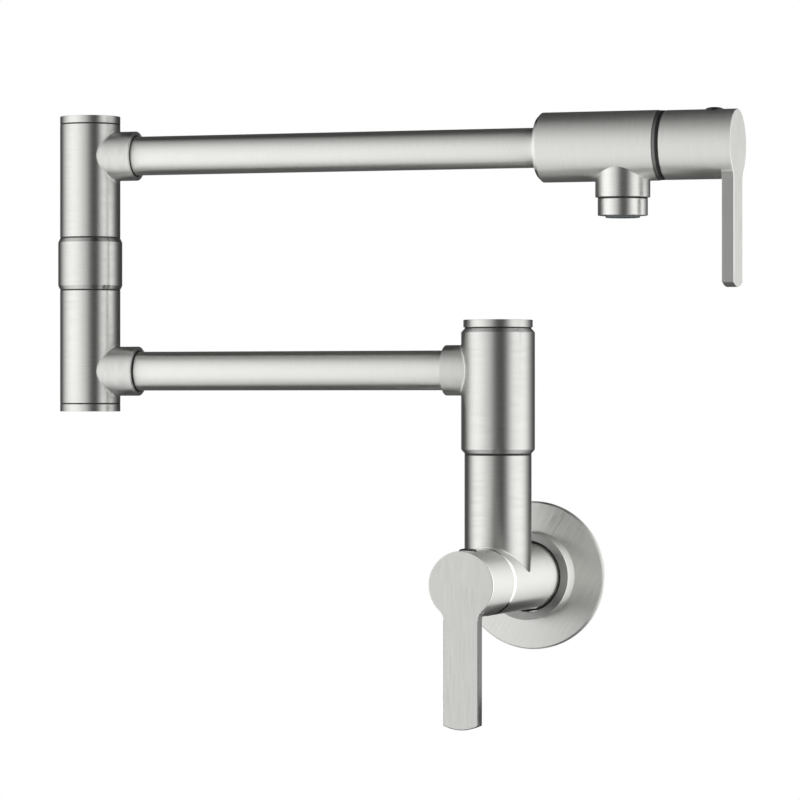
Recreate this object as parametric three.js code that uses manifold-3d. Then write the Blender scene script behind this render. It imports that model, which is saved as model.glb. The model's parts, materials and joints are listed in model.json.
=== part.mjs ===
// Wall mounted pot filler with two folding arms, a valve at the wall and a valve at the spout.
// Millimetres, +Z up. The wall is the plane y = 0 and the tap stands out from it towards -y.
// The origin is the middle of the water inlet, where it meets the wall.

import * as THREE from 'three';
import { mergeVertices } from 'three/addons/utils/BufferGeometryUtils.js';
import Module from 'manifold-3d';

const wasm = await Module();
wasm.setup();

// ---- Fits and facets --------------------------------------------------------------------
const SEAT = 0.3;             // gap left between two pieces that meet
const RUN = 0.3;              // radial running clearance of a swivel
const PAST = 1;               // how far a cutting tool runs past the face that it opens
const FACETS = 28;            // facets of a large round, a multiple of four
const FACETS_FINE = 36;       // facets of the flange, the widest round
const FACETS_SMALL = 12;      // facets of a small or hidden round
const CORD_FACETS = 6;        // facets of an O-ring's cord
const HEX_SIDES = 6;

// ---- Layout of the axes -----------------------------------------------------------------
const RISER_FROM_WALL = 70;
const LOWER_ARM_HEIGHT = 115.6;
const ARM_SPACING = 122;
const LOWER_ARM_REACH = 242.5;
const UPPER_ARM_REACH = 313.5;

// ---- Wall flange ------------------------------------------------------------------------
const FLANGE_R = 41.9;
const FLANGE_THICK = 3.7;
const FLANGE_PLATE = 2.4;
const FLANGE_RIM = 3;
const FLANGE_EDGE = 0.5;
const BOSS_R = 24.8;
const BOSS_FRONT = 16.2;
const BOSS_BORE_R = 20.4;
const BOSS_WALL = 2;
const BOSS_EDGE = 0.4;
const FLANGE_SEAL_DEPTH = 4.5;
const FLANGE_SEAL_WIDTH = 4;

// ---- Valve body at the wall -------------------------------------------------------------
const BODY_R = 18.5;
const BODY_BACK = 2;
const BODY_FRONT = 98.1;
const RISER_R = 18.45;
const RISER_GAP = 0.6;
const INLET_R = 10.5;
const INLET_BORE_R = 7.5;
const INLET_BEHIND_WALL = 15;
const INLET_IN_BODY = 14;
const WATERWAY_R = 8;
const INLET_PORT_R = 5;
const INLET_PORT_DROP = 3.5;
const RISER_PORT_FLOOR = 4;

// ---- Ceramic cartridge, the same in both valves -----------------------------------------
const CARTRIDGE_R = 13.7;
const CARTRIDGE_LENGTH = 20;
const CARTRIDGE_NECK_R = 8.8;
const CARTRIDGE_NECK_LENGTH = 4.5;
const CHAMBER_DEPTH = 27;
const NUT_THREAD_LENGTH = 5;
const NUT_HEX_R = 13.2;
const NUT_HEX_LENGTH = 5;
const STEM_R = 4;
const STEM_LENGTH = 48;
const STEM_IN_CARTRIDGE = 12;

// ---- Lever handle, the same in both valves but for its hub ------------------------------
const WALL_LEVER_HUB_R = 18.35;
const SPOUT_LEVER_HUB_R = 18.95;
const LEVER_HUB_LENGTH = 40.8;
const LEVER_HUB_WALL = 2.6;
const LEVER_FRONT_WALL = 7.5;
const LEVER_BOSS_R = 8.5;
const LEVER_BOSS_LENGTH = 19;
const LEVER_THICK = 6;
const LEVER_HALF_WIDTH = 10.05;
const LEVER_TIP = 77.4;
const LEVER_TIP_ARC_R = 22;
const LEVER_BLEND_R = 7.2;
const LEVER_EDGE = 0.6;
const LEVER_EDGE_STEPS = 1;
const LEVER_GAP = 0.4;
const BLEND_STEPS = 4;
const TIP_STEPS = 6;
const PLUG_R = 4.75;
const PLUG_FROM_FACE = 13.2;
const PLUG_DEPTH = 2.2;
const PLUG_CROWN = 1.1;
const PLUG_SHOULDER_R = 3.8;
const PLUG_SHOULDER_CROWN = 0.8;
const PLUG_TOP_R = 1.9;
const SET_SCREW_R = 2.5;
const SET_SCREW_LENGTH = 7;

// ---- Swivel on the riser ----------------------------------------------------------------
const KNUCKLE_R = 20.3;
const KNUCKLE_BORE_R = 15;
const KNUCKLE_BELOW_ARM = 45.75;
const KNUCKLE_ABOVE_ARM = 22.9;
const KNUCKLE_CHAMFER = 1.8;
const KNUCKLE_CHAMFER_HEIGHT = 2.1;
const KNUCKLE_LEDGE_R = 11;
const KNUCKLE_LEDGE_THICK = 2.6;
const KNUCKLE_LEDGE_DEPTH = 4.4;
const KNUCKLE_CAP_R = 19.1;
const KNUCKLE_CAP_HEIGHT = 4.1;
const KNUCKLE_CAP_GAP = 0.7;
const CAP_SEAL_GAP = 0.15;
const CAP_SPIGOT_LENGTH = 2.2;
const CAP_SPIGOT_WALL = 1.2;
const CAP_EDGE = 0.4;
const THRUST_WASHER_WIDTH = 2.4;
const THRUST_WASHER_THICK = 1.8;
const SPINDLE_THREAD_R = 12;
const SPINDLE_THREAD_LENGTH = 14;
const SPINDLE_BORE_R = 6.5;
const SPINDLE_WINDOW_R = 10;
const SPINDLE_WINDOW_HALF = 9.2;
const SPINDLE_PORT_R = 4;
const LOWER_SEAL_BELOW_WINDOW = 4.4;
const UPPER_SEAL_BELOW_LEDGE = 2.9;
const RETAINING_WASHER_THICK = 1.2;
const RETAINING_SCREW_R = 3;
const RETAINING_SCREW_DEPTH = 9;
const RETAINING_HEAD_R = 5.5;
const RETAINING_HEAD_HEIGHT = 2.2;
const ORING_CORD_R = 1.1;

// ---- Arm tubes and their sockets --------------------------------------------------------
const TUBE_R = 11;
const TUBE_WALL = 1.5;
const SOCKET_R = 13.95;
const SOCKET_REACH = 29.8;
const UPPER_ELBOW_SOCKET_REACH = 28.6;
const SOCKET_EDGE = 0.5;
const SOCKET_MOUTH_GAP = 0.7;
const SOCKET_MOUTH_DEPTH = 6;
const SOCKET_FLOOR_WALL = 4;
const TUBE_WASHER_THICK = 1.2;

// ---- Elbow column -----------------------------------------------------------------------
const ELBOW_R = 17.1;
const ELBOW_BORE_R = 13.5;
const ELBOW_CAP_SIDE = 18.45;
const ELBOW_CAP_HEIGHT = 4.1;
const COLLAR_R = 18.2;
const COLLAR_HEIGHT = 29.1;
const COLLAR_CHAMFER = 1.1;
const COLLAR_CHAMFER_HEIGHT = 2.3;
const ELBOW_LEDGE_R = 10.6;
const ELBOW_LEDGE_THICK = 2.5;
const ELBOW_LEDGE_HEIGHT = 30;
const ELBOW_THREAD_LENGTH = 15;
const ELBOW_NUT_THICK = 3.2;
const ELBOW_SPINDLE_BORE_R = 7;
const ELBOW_CAP_SPIGOT = 3;
const ELBOW_SEAL_ABOVE_FOOT = 3.3;
const ELBOW_SEAL_BELOW_LEDGE = 4.4;

// ---- Spout valve ------------------------------------------------------------------------
const SPOUT_R = 19.2;
const SPOUT_BACK = 46.9;
const SPOUT_FRONT = 20.6;
const SPOUT_CHAMFER = 2.2;
const SPOUT_SOCKET_DEPTH = 18;
const SEAM_RING_R = 19;
const SEAM_RING_WIDTH = 1.6;
const SEAM_WASHER_R = 18.3;
const SEAM_WASHER_WIDTH = 0.6;
const NECK_R = 15;
const NECK_DROP = 28.6;
const NECK_BORE_R = 8.5;
const NECK_EDGE = 0.5;
const AERATOR_R = 13.65;
const AERATOR_HEIGHT = 8.9;
const AERATOR_GAP = 0.4;
const AERATOR_THREAD_R = 12.2;
const AERATOR_THREAD_LENGTH = 7;
const AERATOR_BORE_R = 10.6;
const AERATOR_LIP_R = 9.8;
const AERATOR_LIP_HEIGHT = 1.6;
const AERATOR_EDGE = 0.5;
const AERATOR_WASHER_THICK = 1.05;
const INSERT_PROUD = 1.2;
const INSERT_FACE_THICK = 2.4;
const INSERT_BODY_LENGTH = 9;
const INSERT_WALL = 1.2;
const NOZZLE_PITCH = 3.2;
const NOZZLE_R = 1.3;
const NOZZLE_RINGS = 2;

// ---- Finishes ---------------------------------------------------------------------------
function finish(colour, roughness, metalness) {
  return new THREE.MeshStandardMaterial({ color: colour, roughness, metalness });
}

const brushedSteel = () => finish(0xc6c6c3, 0.36, 1);
const turnedBrass = () => finish(0xb9964f, 0.34, 1);
const plainSteel = () => finish(0x9c9d9e, 0.4, 1);
const shadedSteel = () => finish(0x7d7d7b, 0.42, 1);
const blackRubber = () => finish(0x161616, 0.75, 0);
const blackPlastic = () => finish(0x121212, 0.4, 0);
const whiteAcetal = () => finish(0xdedcd4, 0.55, 0);
const greyPlastic = () => finish(0x6d7377, 0.5, 0);

// ---- Shape helpers ----------------------------------------------------------------------
// A profile is a list of [radius, height] turned about +Z. It starts and ends on the axis, or closes.
function turned(profile, facets = FACETS) {
  const points = profile.map(([radius, height]) => new THREE.Vector2(radius, height));
  return new THREE.LatheGeometry(points, facets).rotateX(Math.PI / 2);
}

function rod(radius, low, high, facets = FACETS) {
  return turned([[0, low], [radius, low], [radius, high], [0, high]], facets);
}

function ring(inner, outer, low, high, facets = FACETS) {
  return turned([[inner, low], [outer, low], [outer, high], [inner, high], [inner, low]], facets);
}

function chamferedRod(radius, low, high, inset, height) {
  return turned([
    [0, low], [radius - inset, low], [radius, low + height],
    [radius, high - height], [radius - inset, high], [0, high],
  ]);
}

function arc(centreX, centreY, radius, from, to, steps) {
  return Array.from({ length: steps + 1 }, (_, i) => {
    const angle = from + ((to - from) * i) / steps;
    return [centreX + radius * Math.cos(angle), centreY + radius * Math.sin(angle)];
  });
}

function oRing(innerR, outerR, height) {
  const middle = (innerR + outerR) / 2;
  const cordR = (outerR - innerR) / 2;
  return turned(arc(middle, height, cordR, 0, 2 * Math.PI, CORD_FACETS), FACETS_SMALL);
}

const alongX = (geometry) => geometry.rotateY(Math.PI / 2);
const alongY = (geometry) => geometry.rotateX(-Math.PI / 2);

// ---- Joining and cutting ----------------------------------------------------------------
function solid(geometry) {
  const bare = geometry.clone();
  bare.deleteAttribute('normal');
  bare.deleteAttribute('uv');
  const merged = mergeVertices(bare);
  const corners = [];
  for (let i = 0; i < merged.index.count; i += 3) {
    const triangle = [0, 1, 2].map((k) => merged.index.getX(i + k));
    if (new Set(triangle).size === triangle.length) corners.push(...triangle);
  }
  return new wasm.Manifold(new wasm.Mesh({
    numProp: 3,
    vertProperties: merged.attributes.position.array,
    triVerts: new Uint32Array(corners),
  }));
}

function geometryOf(body) {
  const mesh = body.getMesh();
  const geometry = new THREE.BufferGeometry();
  geometry.setAttribute('position', new THREE.BufferAttribute(mesh.vertProperties, mesh.numProp));
  geometry.setIndex(new THREE.BufferAttribute(mesh.triVerts, 1));
  geometry.computeVertexNormals();
  return geometry;
}

function cut(base, ...tools) {
  return geometryOf(tools.reduce((body, tool) => body.subtract(solid(tool)), solid(base)));
}

function join(first, ...others) {
  return geometryOf(others.reduce((body, other) => body.add(solid(other)), solid(first)));
}

// ---- Naming and placing -----------------------------------------------------------------
function part(name, geometry, material) {
  const mesh = new THREE.Mesh(geometry, material);
  mesh.name = name;
  return mesh;
}

function placed(object, x, y, z) {
  object.position.set(x, y, z);
  return object;
}

function turnedRound(object, axis, angle) {
  object.rotation[axis] = angle;
  return object;
}

function group(...members) {
  const assembly = new THREE.Group();
  assembly.add(...members);
  return assembly;
}

// ---- Wall flange: a turned shell with a raised boss round the valve body ----------------
// Built with +Z out of the wall.
function wallFlange() {
  const recess = FLANGE_THICK - FLANGE_PLATE;
  const hollowR = BOSS_R - BOSS_WALL;
  const hollowTop = BOSS_FRONT - FLANGE_SEAL_DEPTH - FLANGE_SEAL_WIDTH - BOSS_WALL;
  return turned([
    [FLANGE_R - FLANGE_RIM, 0],
    [FLANGE_R, 0],
    [FLANGE_R, FLANGE_THICK - FLANGE_EDGE],
    [FLANGE_R - FLANGE_EDGE, FLANGE_THICK],
    [BOSS_R, FLANGE_THICK],
    [BOSS_R, BOSS_FRONT - BOSS_EDGE],
    [BOSS_R - BOSS_EDGE, BOSS_FRONT],
    [BOSS_BORE_R + BOSS_EDGE, BOSS_FRONT],
    [BOSS_BORE_R, BOSS_FRONT - BOSS_EDGE],
    [BOSS_BORE_R, hollowTop],
    [hollowR, hollowTop],
    [hollowR, recess],
    [FLANGE_R - FLANGE_RIM, recess],
    [FLANGE_R - FLANGE_RIM, 0],
  ], FACETS_FINE);
}

function flangeGasket() {
  const recess = FLANGE_THICK - FLANGE_PLATE;
  return ring(BOSS_R + SEAT, FLANGE_R - FLANGE_RIM - SEAT, 0, recess - SEAT, FACETS_SMALL);
}

function flangeSeal() {
  const front = BOSS_FRONT - FLANGE_SEAL_DEPTH;
  return ring(BODY_R + SEAT, BOSS_BORE_R - SEAT, front - FLANGE_SEAL_WIDTH, front);
}

// ---- Valve body: barrel and riser cross like a mitred tee -------------------------------
// Built with +Z out of the wall and +Y up.
const riserTop = LOWER_ARM_HEIGHT - KNUCKLE_BELOW_ARM - RISER_GAP;
const chamberR = CARTRIDGE_R + SEAT;

function valveBody() {
  const upright = (geometry) => alongY(geometry).translate(0, 0, RISER_FROM_WALL);
  const chamberFloor = BODY_FRONT - CHAMBER_DEPTH;
  const inletEnd = BODY_BACK + INLET_IN_BODY + SEAT;
  const outside = join(rod(BODY_R, BODY_BACK, BODY_FRONT), upright(rod(RISER_R, 0, riserTop)));
  return cut(
    outside,
    rod(chamberR, chamberFloor, BODY_FRONT + PAST),
    rod(INLET_R + SEAT, BODY_BACK - PAST, inletEnd, FACETS_SMALL),
    rod(INLET_PORT_R, inletEnd - PAST, chamberFloor + PAST, FACETS_SMALL)
      .translate(0, -INLET_PORT_DROP, 0),
    upright(rod(WATERWAY_R, RISER_PORT_FLOOR, riserTop, FACETS_SMALL)),
    upright(rod(SPINDLE_THREAD_R + SEAT, riserTop - SPINDLE_THREAD_LENGTH, riserTop + PAST)),
  );
}

function inletNipple() {
  return ring(INLET_BORE_R, INLET_R, -INLET_BEHIND_WALL, BODY_BACK + INLET_IN_BODY, FACETS_SMALL);
}

// ---- Cartridge, stem and nut: +Z points out of the valve, z = 0 is the mouth of its chamber ----
const cartridgeTop = SEAT - CHAMBER_DEPTH + CARTRIDGE_LENGTH;
const stemBottom = cartridgeTop + CARTRIDGE_NECK_LENGTH - STEM_IN_CARTRIDGE;

function cartridge() {
  const outside = turned([
    [0, cartridgeTop - CARTRIDGE_LENGTH],
    [CARTRIDGE_R, cartridgeTop - CARTRIDGE_LENGTH],
    [CARTRIDGE_R, cartridgeTop],
    [CARTRIDGE_NECK_R, cartridgeTop],
    [CARTRIDGE_NECK_R, cartridgeTop + CARTRIDGE_NECK_LENGTH],
    [0, cartridgeTop + CARTRIDGE_NECK_LENGTH],
  ], FACETS_SMALL);
  const stemHole = rod(STEM_R + RUN, stemBottom - SEAT, PAST, FACETS_SMALL);
  return cut(outside, stemHole);
}

function cartridgeStem() {
  return rod(STEM_R, stemBottom, stemBottom + STEM_LENGTH, FACETS_SMALL);
}

function bonnetNut() {
  const low = cartridgeTop + SEAT;
  const shoulder = low + NUT_THREAD_LENGTH;
  const thread = rod(CARTRIDGE_R, low, shoulder, FACETS_SMALL);
  const top = shoulder + NUT_HEX_LENGTH;
  const hexagon = rod(NUT_HEX_R, shoulder - SEAT, top, HEX_SIDES);
  return cut(join(thread, hexagon), rod(CARTRIDGE_NECK_R + SEAT, low - PAST, top + PAST, FACETS_SMALL));
}

// ---- Lever: a hollow round hub with a flat keyhole-shaped paddle across its end ---------
// The hub's axis is +Z, its open back is z = 0 and the paddle hangs towards -Y.
const hubCorners = (hubR) => arc(0, 0, hubR, -Math.PI / 2, 1.5 * Math.PI, FACETS).slice(1);

function extruded(outline, depth, edge) {
  const corners = outline.map(([x, y]) => new THREE.Vector2(x, y));
  return new THREE.ExtrudeGeometry(new THREE.Shape(corners), {
    depth,
    bevelEnabled: edge > 0,
    bevelThickness: edge,
    bevelSize: edge,
    bevelOffset: -edge,
    bevelSegments: LEVER_EDGE_STEPS,
  });
}

function leverOutline(hubR) {
  const blendX = LEVER_HALF_WIDTH + LEVER_BLEND_R;
  const blendY = -Math.sqrt((hubR + LEVER_BLEND_R) ** 2 - blendX ** 2);
  const meet = Math.atan2(blendY, blendX);
  const tipCentreY = LEVER_TIP_ARC_R - LEVER_TIP;
  const tipHalfAngle = Math.asin(LEVER_HALF_WIDTH / LEVER_TIP_ARC_R);
  const down = -Math.PI / 2;
  return [
    ...hubCorners(hubR).filter(([, y]) => y > hubR * Math.sin(meet)),
    ...arc(-blendX, blendY, LEVER_BLEND_R, -meet, 0, BLEND_STEPS),
    ...arc(0, tipCentreY, LEVER_TIP_ARC_R, down - tipHalfAngle, down + tipHalfAngle, TIP_STEPS),
    ...arc(blendX, blendY, LEVER_BLEND_R, Math.PI, Math.PI + meet, BLEND_STEPS),
  ];
}

function leverPlate(hubR) {
  const plate = extruded(leverOutline(hubR), LEVER_THICK - 2 * LEVER_EDGE, LEVER_EDGE);
  return plate.translate(0, 0, LEVER_HUB_LENGTH - LEVER_THICK + LEVER_EDGE);
}

function lever(hubR, gap) {
  const cavityR = hubR - LEVER_HUB_WALL;
  const cavityEnd = LEVER_HUB_LENGTH - LEVER_FRONT_WALL;
  const bossStart = cavityEnd - LEVER_BOSS_LENGTH;
  const plugZ = LEVER_HUB_LENGTH - PLUG_FROM_FACE;
  const stemEnd = stemBottom + STEM_LENGTH - gap + SEAT;
  const shell = cut(
    join(extruded(hubCorners(hubR), LEVER_HUB_LENGTH - LEVER_EDGE, 0), leverPlate(hubR)),
    rod(cavityR, -PAST, cavityEnd),
  );
  return cut(
    join(shell, rod(LEVER_BOSS_R, bossStart, cavityEnd + SEAT, FACETS_SMALL)),
    rod(STEM_R + SEAT, bossStart - PAST, stemEnd, FACETS_SMALL),
    alongY(rod(SET_SCREW_R + SEAT, 0, LEVER_BOSS_R + PAST, FACETS_SMALL)).translate(0, 0, plugZ),
    alongY(rod(PLUG_R + SEAT, cavityR - PAST, hubR + PAST, FACETS_SMALL)).translate(0, 0, plugZ),
  );
}

function setScrew() {
  const low = STEM_R + SEAT;
  return alongY(rod(SET_SCREW_R, low, low + SET_SCREW_LENGTH, FACETS_SMALL));
}

function leverPlug(hubR) {
  const shoulder = hubR - PLUG_DEPTH;
  return alongY(turned([
    [0, shoulder],
    [PLUG_R, shoulder],
    [PLUG_R, hubR],
    [PLUG_SHOULDER_R, hubR + PLUG_SHOULDER_CROWN],
    [PLUG_TOP_R, hubR + PLUG_CROWN],
    [0, hubR + PLUG_CROWN],
  ], FACETS_SMALL));
}

function leverValve(prefix, hubR, gap) {
  const pin = group(
    part(`${prefix}_lever_set_screw`, setScrew(), plainSteel()),
    part(`${prefix}_lever_plug`, leverPlug(hubR), blackPlastic()),
  );
  const handle = group(
    part(`${prefix}_lever`, lever(hubR, gap), brushedSteel()),
    placed(pin, 0, 0, LEVER_HUB_LENGTH - PLUG_FROM_FACE),
  );
  return group(
    part(`${prefix}_cartridge`, cartridge(), whiteAcetal()),
    part(`${prefix}_cartridge_stem`, cartridgeStem(), turnedBrass()),
    part(`${prefix}_bonnet_nut`, bonnetNut(), turnedBrass()),
    placed(handle, 0, 0, gap),
  );
}

// ---- Hub with a socket: z = 0 is the arm's axis and the socket faces +X -----------------
// The bore is a little wider at the mouth, which leaves a dark ring round the tube.
function socketFloor(boreR) {
  return boreR + SOCKET_FLOOR_WALL;
}

function hubWithSocket(hub, boreR, reach) {
  const floor = socketFloor(boreR);
  const socket = turned([
    [0, 0],
    [SOCKET_R, 0],
    [SOCKET_R, reach - SOCKET_EDGE],
    [SOCKET_R - SOCKET_EDGE, reach],
    [0, reach],
  ]);
  return cut(
    join(hub, alongX(socket)),
    alongX(rod(TUBE_R + SEAT, floor, reach + PAST)),
    alongX(rod(TUBE_R + SOCKET_MOUTH_GAP, reach - SOCKET_MOUTH_DEPTH, reach + PAST)),
    alongX(rod(WATERWAY_R, 0, floor + PAST, FACETS_SMALL)),
  );
}

// The arm tube lies along +X, from its seat in one hub to its seat in the next piece.
function armTube(from, to) {
  const inset = TUBE_WASHER_THICK + 2 * SEAT;
  return alongX(ring(TUBE_R - TUBE_WALL, TUBE_R, from + inset, to - inset));
}

function tubeWasher() {
  return alongX(ring(TUBE_R - TUBE_WALL, TUBE_R, SEAT, SEAT + TUBE_WASHER_THICK, FACETS_SMALL));
}

// ---- Knuckle: the sleeve that swivels on the riser --------------------------------------
const ledgeTop = KNUCKLE_ABOVE_ARM - KNUCKLE_LEDGE_DEPTH;
const ledgeBottom = ledgeTop - KNUCKLE_LEDGE_THICK;
const thrustR = KNUCKLE_BORE_R + THRUST_WASHER_WIDTH;
const washerTop = THRUST_WASHER_THICK + SEAT - RISER_GAP - KNUCKLE_BELOW_ARM;

function knuckle() {
  const sleeve = chamferedRod(
    KNUCKLE_R, -KNUCKLE_BELOW_ARM, KNUCKLE_ABOVE_ARM, KNUCKLE_CHAMFER, KNUCKLE_CHAMFER_HEIGHT,
  );
  return cut(
    hubWithSocket(sleeve, KNUCKLE_BORE_R, SOCKET_REACH),
    rod(KNUCKLE_BORE_R, -KNUCKLE_BELOW_ARM - PAST, ledgeBottom),
    rod(KNUCKLE_LEDGE_R, ledgeBottom - PAST, ledgeTop + PAST),
    rod(KNUCKLE_BORE_R, ledgeTop, KNUCKLE_ABOVE_ARM + PAST),
    rod(thrustR + SEAT, -KNUCKLE_BELOW_ARM - PAST, washerTop + SEAT),
  );
}

function thrustWasher() {
  return ring(KNUCKLE_BORE_R + SEAT, thrustR, washerTop - THRUST_WASHER_THICK, washerTop, FACETS_SMALL);
}

// The spindle screws into the riser. Water leaves its bore through four holes at the arm's height.
const spindleR = KNUCKLE_BORE_R - RUN;
const spindleTop = ledgeBottom - SEAT;
const pilotTop = ledgeTop + SEAT;
const spindleSeals = [
  -SPINDLE_WINDOW_HALF - LOWER_SEAL_BELOW_WINDOW,
  ledgeBottom - UPPER_SEAL_BELOW_LEDGE,
];

function sealGroove(shaftR, height) {
  const floorR = shaftR - 2 * ORING_CORD_R - SEAT;
  const half = ORING_CORD_R + SEAT;
  return ring(floorR, shaftR + PAST, height - half, height + half, FACETS_SMALL);
}

function riserSpindle() {
  const threadTop = -KNUCKLE_BELOW_ARM - RISER_GAP;
  const shaftLow = threadTop + SEAT;
  const outside = turned([
    [0, threadTop - SPINDLE_THREAD_LENGTH + SEAT],
    [SPINDLE_THREAD_R, threadTop - SPINDLE_THREAD_LENGTH + SEAT],
    [SPINDLE_THREAD_R, shaftLow],
    [spindleR, shaftLow],
    [spindleR, -SPINDLE_WINDOW_HALF],
    [SPINDLE_WINDOW_R, -SPINDLE_WINDOW_HALF],
    [SPINDLE_WINDOW_R, SPINDLE_WINDOW_HALF],
    [spindleR, SPINDLE_WINDOW_HALF],
    [spindleR, spindleTop],
    [KNUCKLE_LEDGE_R - RUN, spindleTop],
    [KNUCKLE_LEDGE_R - RUN, pilotTop],
    [0, pilotTop],
  ], FACETS_SMALL);
  const windows = [0, Math.PI / 2].map((turn) =>
    alongX(rod(SPINDLE_PORT_R, -spindleR, spindleR, FACETS_SMALL)).rotateZ(turn));
  return cut(
    outside,
    rod(SPINDLE_BORE_R, threadTop - SPINDLE_THREAD_LENGTH - PAST, SPINDLE_PORT_R, FACETS_SMALL),
    rod(RETAINING_SCREW_R + SEAT, pilotTop - RETAINING_SCREW_DEPTH, pilotTop + PAST, FACETS_SMALL),
    ...windows,
    ...spindleSeals.map((height) => sealGroove(spindleR, height)),
  );
}

function shaftSeal(shaftR, height) {
  return oRing(shaftR - 2 * ORING_CORD_R, shaftR, height);
}

function retainingWasher() {
  const low = pilotTop + SEAT;
  const high = low + RETAINING_WASHER_THICK;
  return ring(RETAINING_SCREW_R + SEAT, KNUCKLE_BORE_R - 2 * SEAT, low, high, FACETS_SMALL);
}

function retainingScrew() {
  const under = pilotTop + RETAINING_WASHER_THICK + 2 * SEAT;
  return turned([
    [0, pilotTop - RETAINING_SCREW_DEPTH + SEAT],
    [RETAINING_SCREW_R, pilotTop - RETAINING_SCREW_DEPTH + SEAT],
    [RETAINING_SCREW_R, under],
    [RETAINING_HEAD_R, under],
    [RETAINING_HEAD_R, under + RETAINING_HEAD_HEIGHT],
    [0, under + RETAINING_HEAD_HEIGHT],
  ], FACETS_SMALL);
}

// A cap's underside is z = 0. Its spigot is a thin skirt inside the bore.
function endCap(radius, height, boreR, spigot) {
  return turned([
    [0, 0],
    [boreR - SEAT - CAP_SPIGOT_WALL, 0],
    [boreR - SEAT - CAP_SPIGOT_WALL, -spigot],
    [boreR - SEAT, -spigot],
    [boreR - SEAT, 0],
    [radius, 0],
    [radius, height - CAP_EDGE],
    [radius - CAP_EDGE, height],
    [0, height],
  ]);
}

// ---- Elbow: two hubs and a collar on one hollow spindle ---------------------------------
const elbowLong = (ARM_SPACING - COLLAR_HEIGHT) / 2 - SEAT;

// Both hubs are built with their cap's end up. The upper one also has a ledge, which the nut holds down.
function elbowHub(reach) {
  return hubWithSocket(rod(ELBOW_R, -elbowLong, ELBOW_CAP_SIDE), ELBOW_BORE_R, reach);
}

function upperElbowHub() {
  const ledge = ELBOW_LEDGE_HEIGHT - elbowLong;
  return cut(
    elbowHub(UPPER_ELBOW_SOCKET_REACH),
    rod(ELBOW_BORE_R, -elbowLong - PAST, ledge),
    rod(ELBOW_LEDGE_R, ledge - PAST, ledge + ELBOW_LEDGE_THICK + PAST),
    rod(ELBOW_BORE_R, ledge + ELBOW_LEDGE_THICK, ELBOW_CAP_SIDE + PAST),
  );
}

function lowerElbowHub() {
  const bore = rod(ELBOW_BORE_R, -elbowLong - PAST, ELBOW_CAP_SIDE + PAST);
  return cut(elbowHub(SOCKET_REACH), bore);
}

function elbowCollar() {
  const half = COLLAR_HEIGHT / 2;
  return cut(
    chamferedRod(COLLAR_R, -half, half, COLLAR_CHAMFER, COLLAR_CHAMFER_HEIGHT),
    rod(ELBOW_BORE_R, -half - PAST, half + PAST),
  );
}

// The elbow spindle's heights count from the middle of the collar.
const elbowShaftR = ELBOW_BORE_R - RUN;
const elbowHubFoot = COLLAR_HEIGHT / 2 + SEAT;
const elbowLedge = elbowHubFoot + ELBOW_LEDGE_HEIGHT;
const elbowNeckTop = elbowLedge + ELBOW_LEDGE_THICK + ELBOW_NUT_THICK + 2 * SEAT;
const elbowSeals = [
  -elbowHubFoot - ELBOW_THREAD_LENGTH / 2,
  elbowHubFoot + ELBOW_SEAL_ABOVE_FOOT,
  elbowLedge - ELBOW_SEAL_BELOW_LEDGE,
];

function elbowSpindle() {
  const foot = -elbowHubFoot - ELBOW_THREAD_LENGTH;
  const shaft = turned([
    [ELBOW_SPINDLE_BORE_R, foot],
    [elbowShaftR, foot],
    [elbowShaftR, elbowLedge - SEAT],
    [ELBOW_LEDGE_R - RUN, elbowLedge - SEAT],
    [ELBOW_LEDGE_R - RUN, elbowNeckTop],
    [ELBOW_SPINDLE_BORE_R, elbowNeckTop],
    [ELBOW_SPINDLE_BORE_R, foot],
  ], FACETS_SMALL);
  return cut(shaft, ...elbowSeals.map((height) => sealGroove(elbowShaftR, height)));
}

function elbowNut() {
  const low = elbowLedge + ELBOW_LEDGE_THICK + SEAT;
  return cut(
    rod(ELBOW_BORE_R - SEAT, low, low + ELBOW_NUT_THICK, HEX_SIDES),
    rod(ELBOW_LEDGE_R, low - PAST, low + ELBOW_NUT_THICK + PAST, FACETS_SMALL),
  );
}

// ---- Spout: x counts from the outlet's axis, z from the arm's axis ----------------------
function spoutBody() {
  const chamberFloor = SPOUT_FRONT - CHAMBER_DEPTH;
  const socketEnd = SPOUT_SOCKET_DEPTH - SPOUT_BACK;
  const barrel = alongX(turned([
    [0, -SPOUT_BACK],
    [SPOUT_R - SPOUT_CHAMFER, -SPOUT_BACK],
    [SPOUT_R, SPOUT_CHAMFER - SPOUT_BACK],
    [SPOUT_R, SPOUT_FRONT],
    [0, SPOUT_FRONT],
  ]));
  const neck = turned([
    [0, -NECK_DROP],
    [NECK_R - NECK_EDGE, -NECK_DROP],
    [NECK_R, NECK_EDGE - NECK_DROP],
    [NECK_R, 0],
    [0, 0],
  ]);
  const threadEnd = AERATOR_THREAD_LENGTH + AERATOR_WASHER_THICK + SEAT - NECK_DROP;
  return cut(
    join(barrel, neck),
    alongX(rod(chamberR, chamberFloor, SPOUT_FRONT + PAST)),
    alongX(rod(WATERWAY_R, socketEnd - PAST, chamberFloor + PAST, FACETS_SMALL)),
    alongX(rod(TUBE_R + SEAT, -SPOUT_BACK - PAST, socketEnd)),
    rod(NECK_BORE_R, -NECK_DROP - PAST, 0, FACETS_SMALL),
    rod(AERATOR_THREAD_R + SEAT, -NECK_DROP - PAST, threadEnd),
  );
}

const aeratorTop = -NECK_DROP - AERATOR_GAP;
const aeratorBottom = aeratorTop - AERATOR_HEIGHT;

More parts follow.
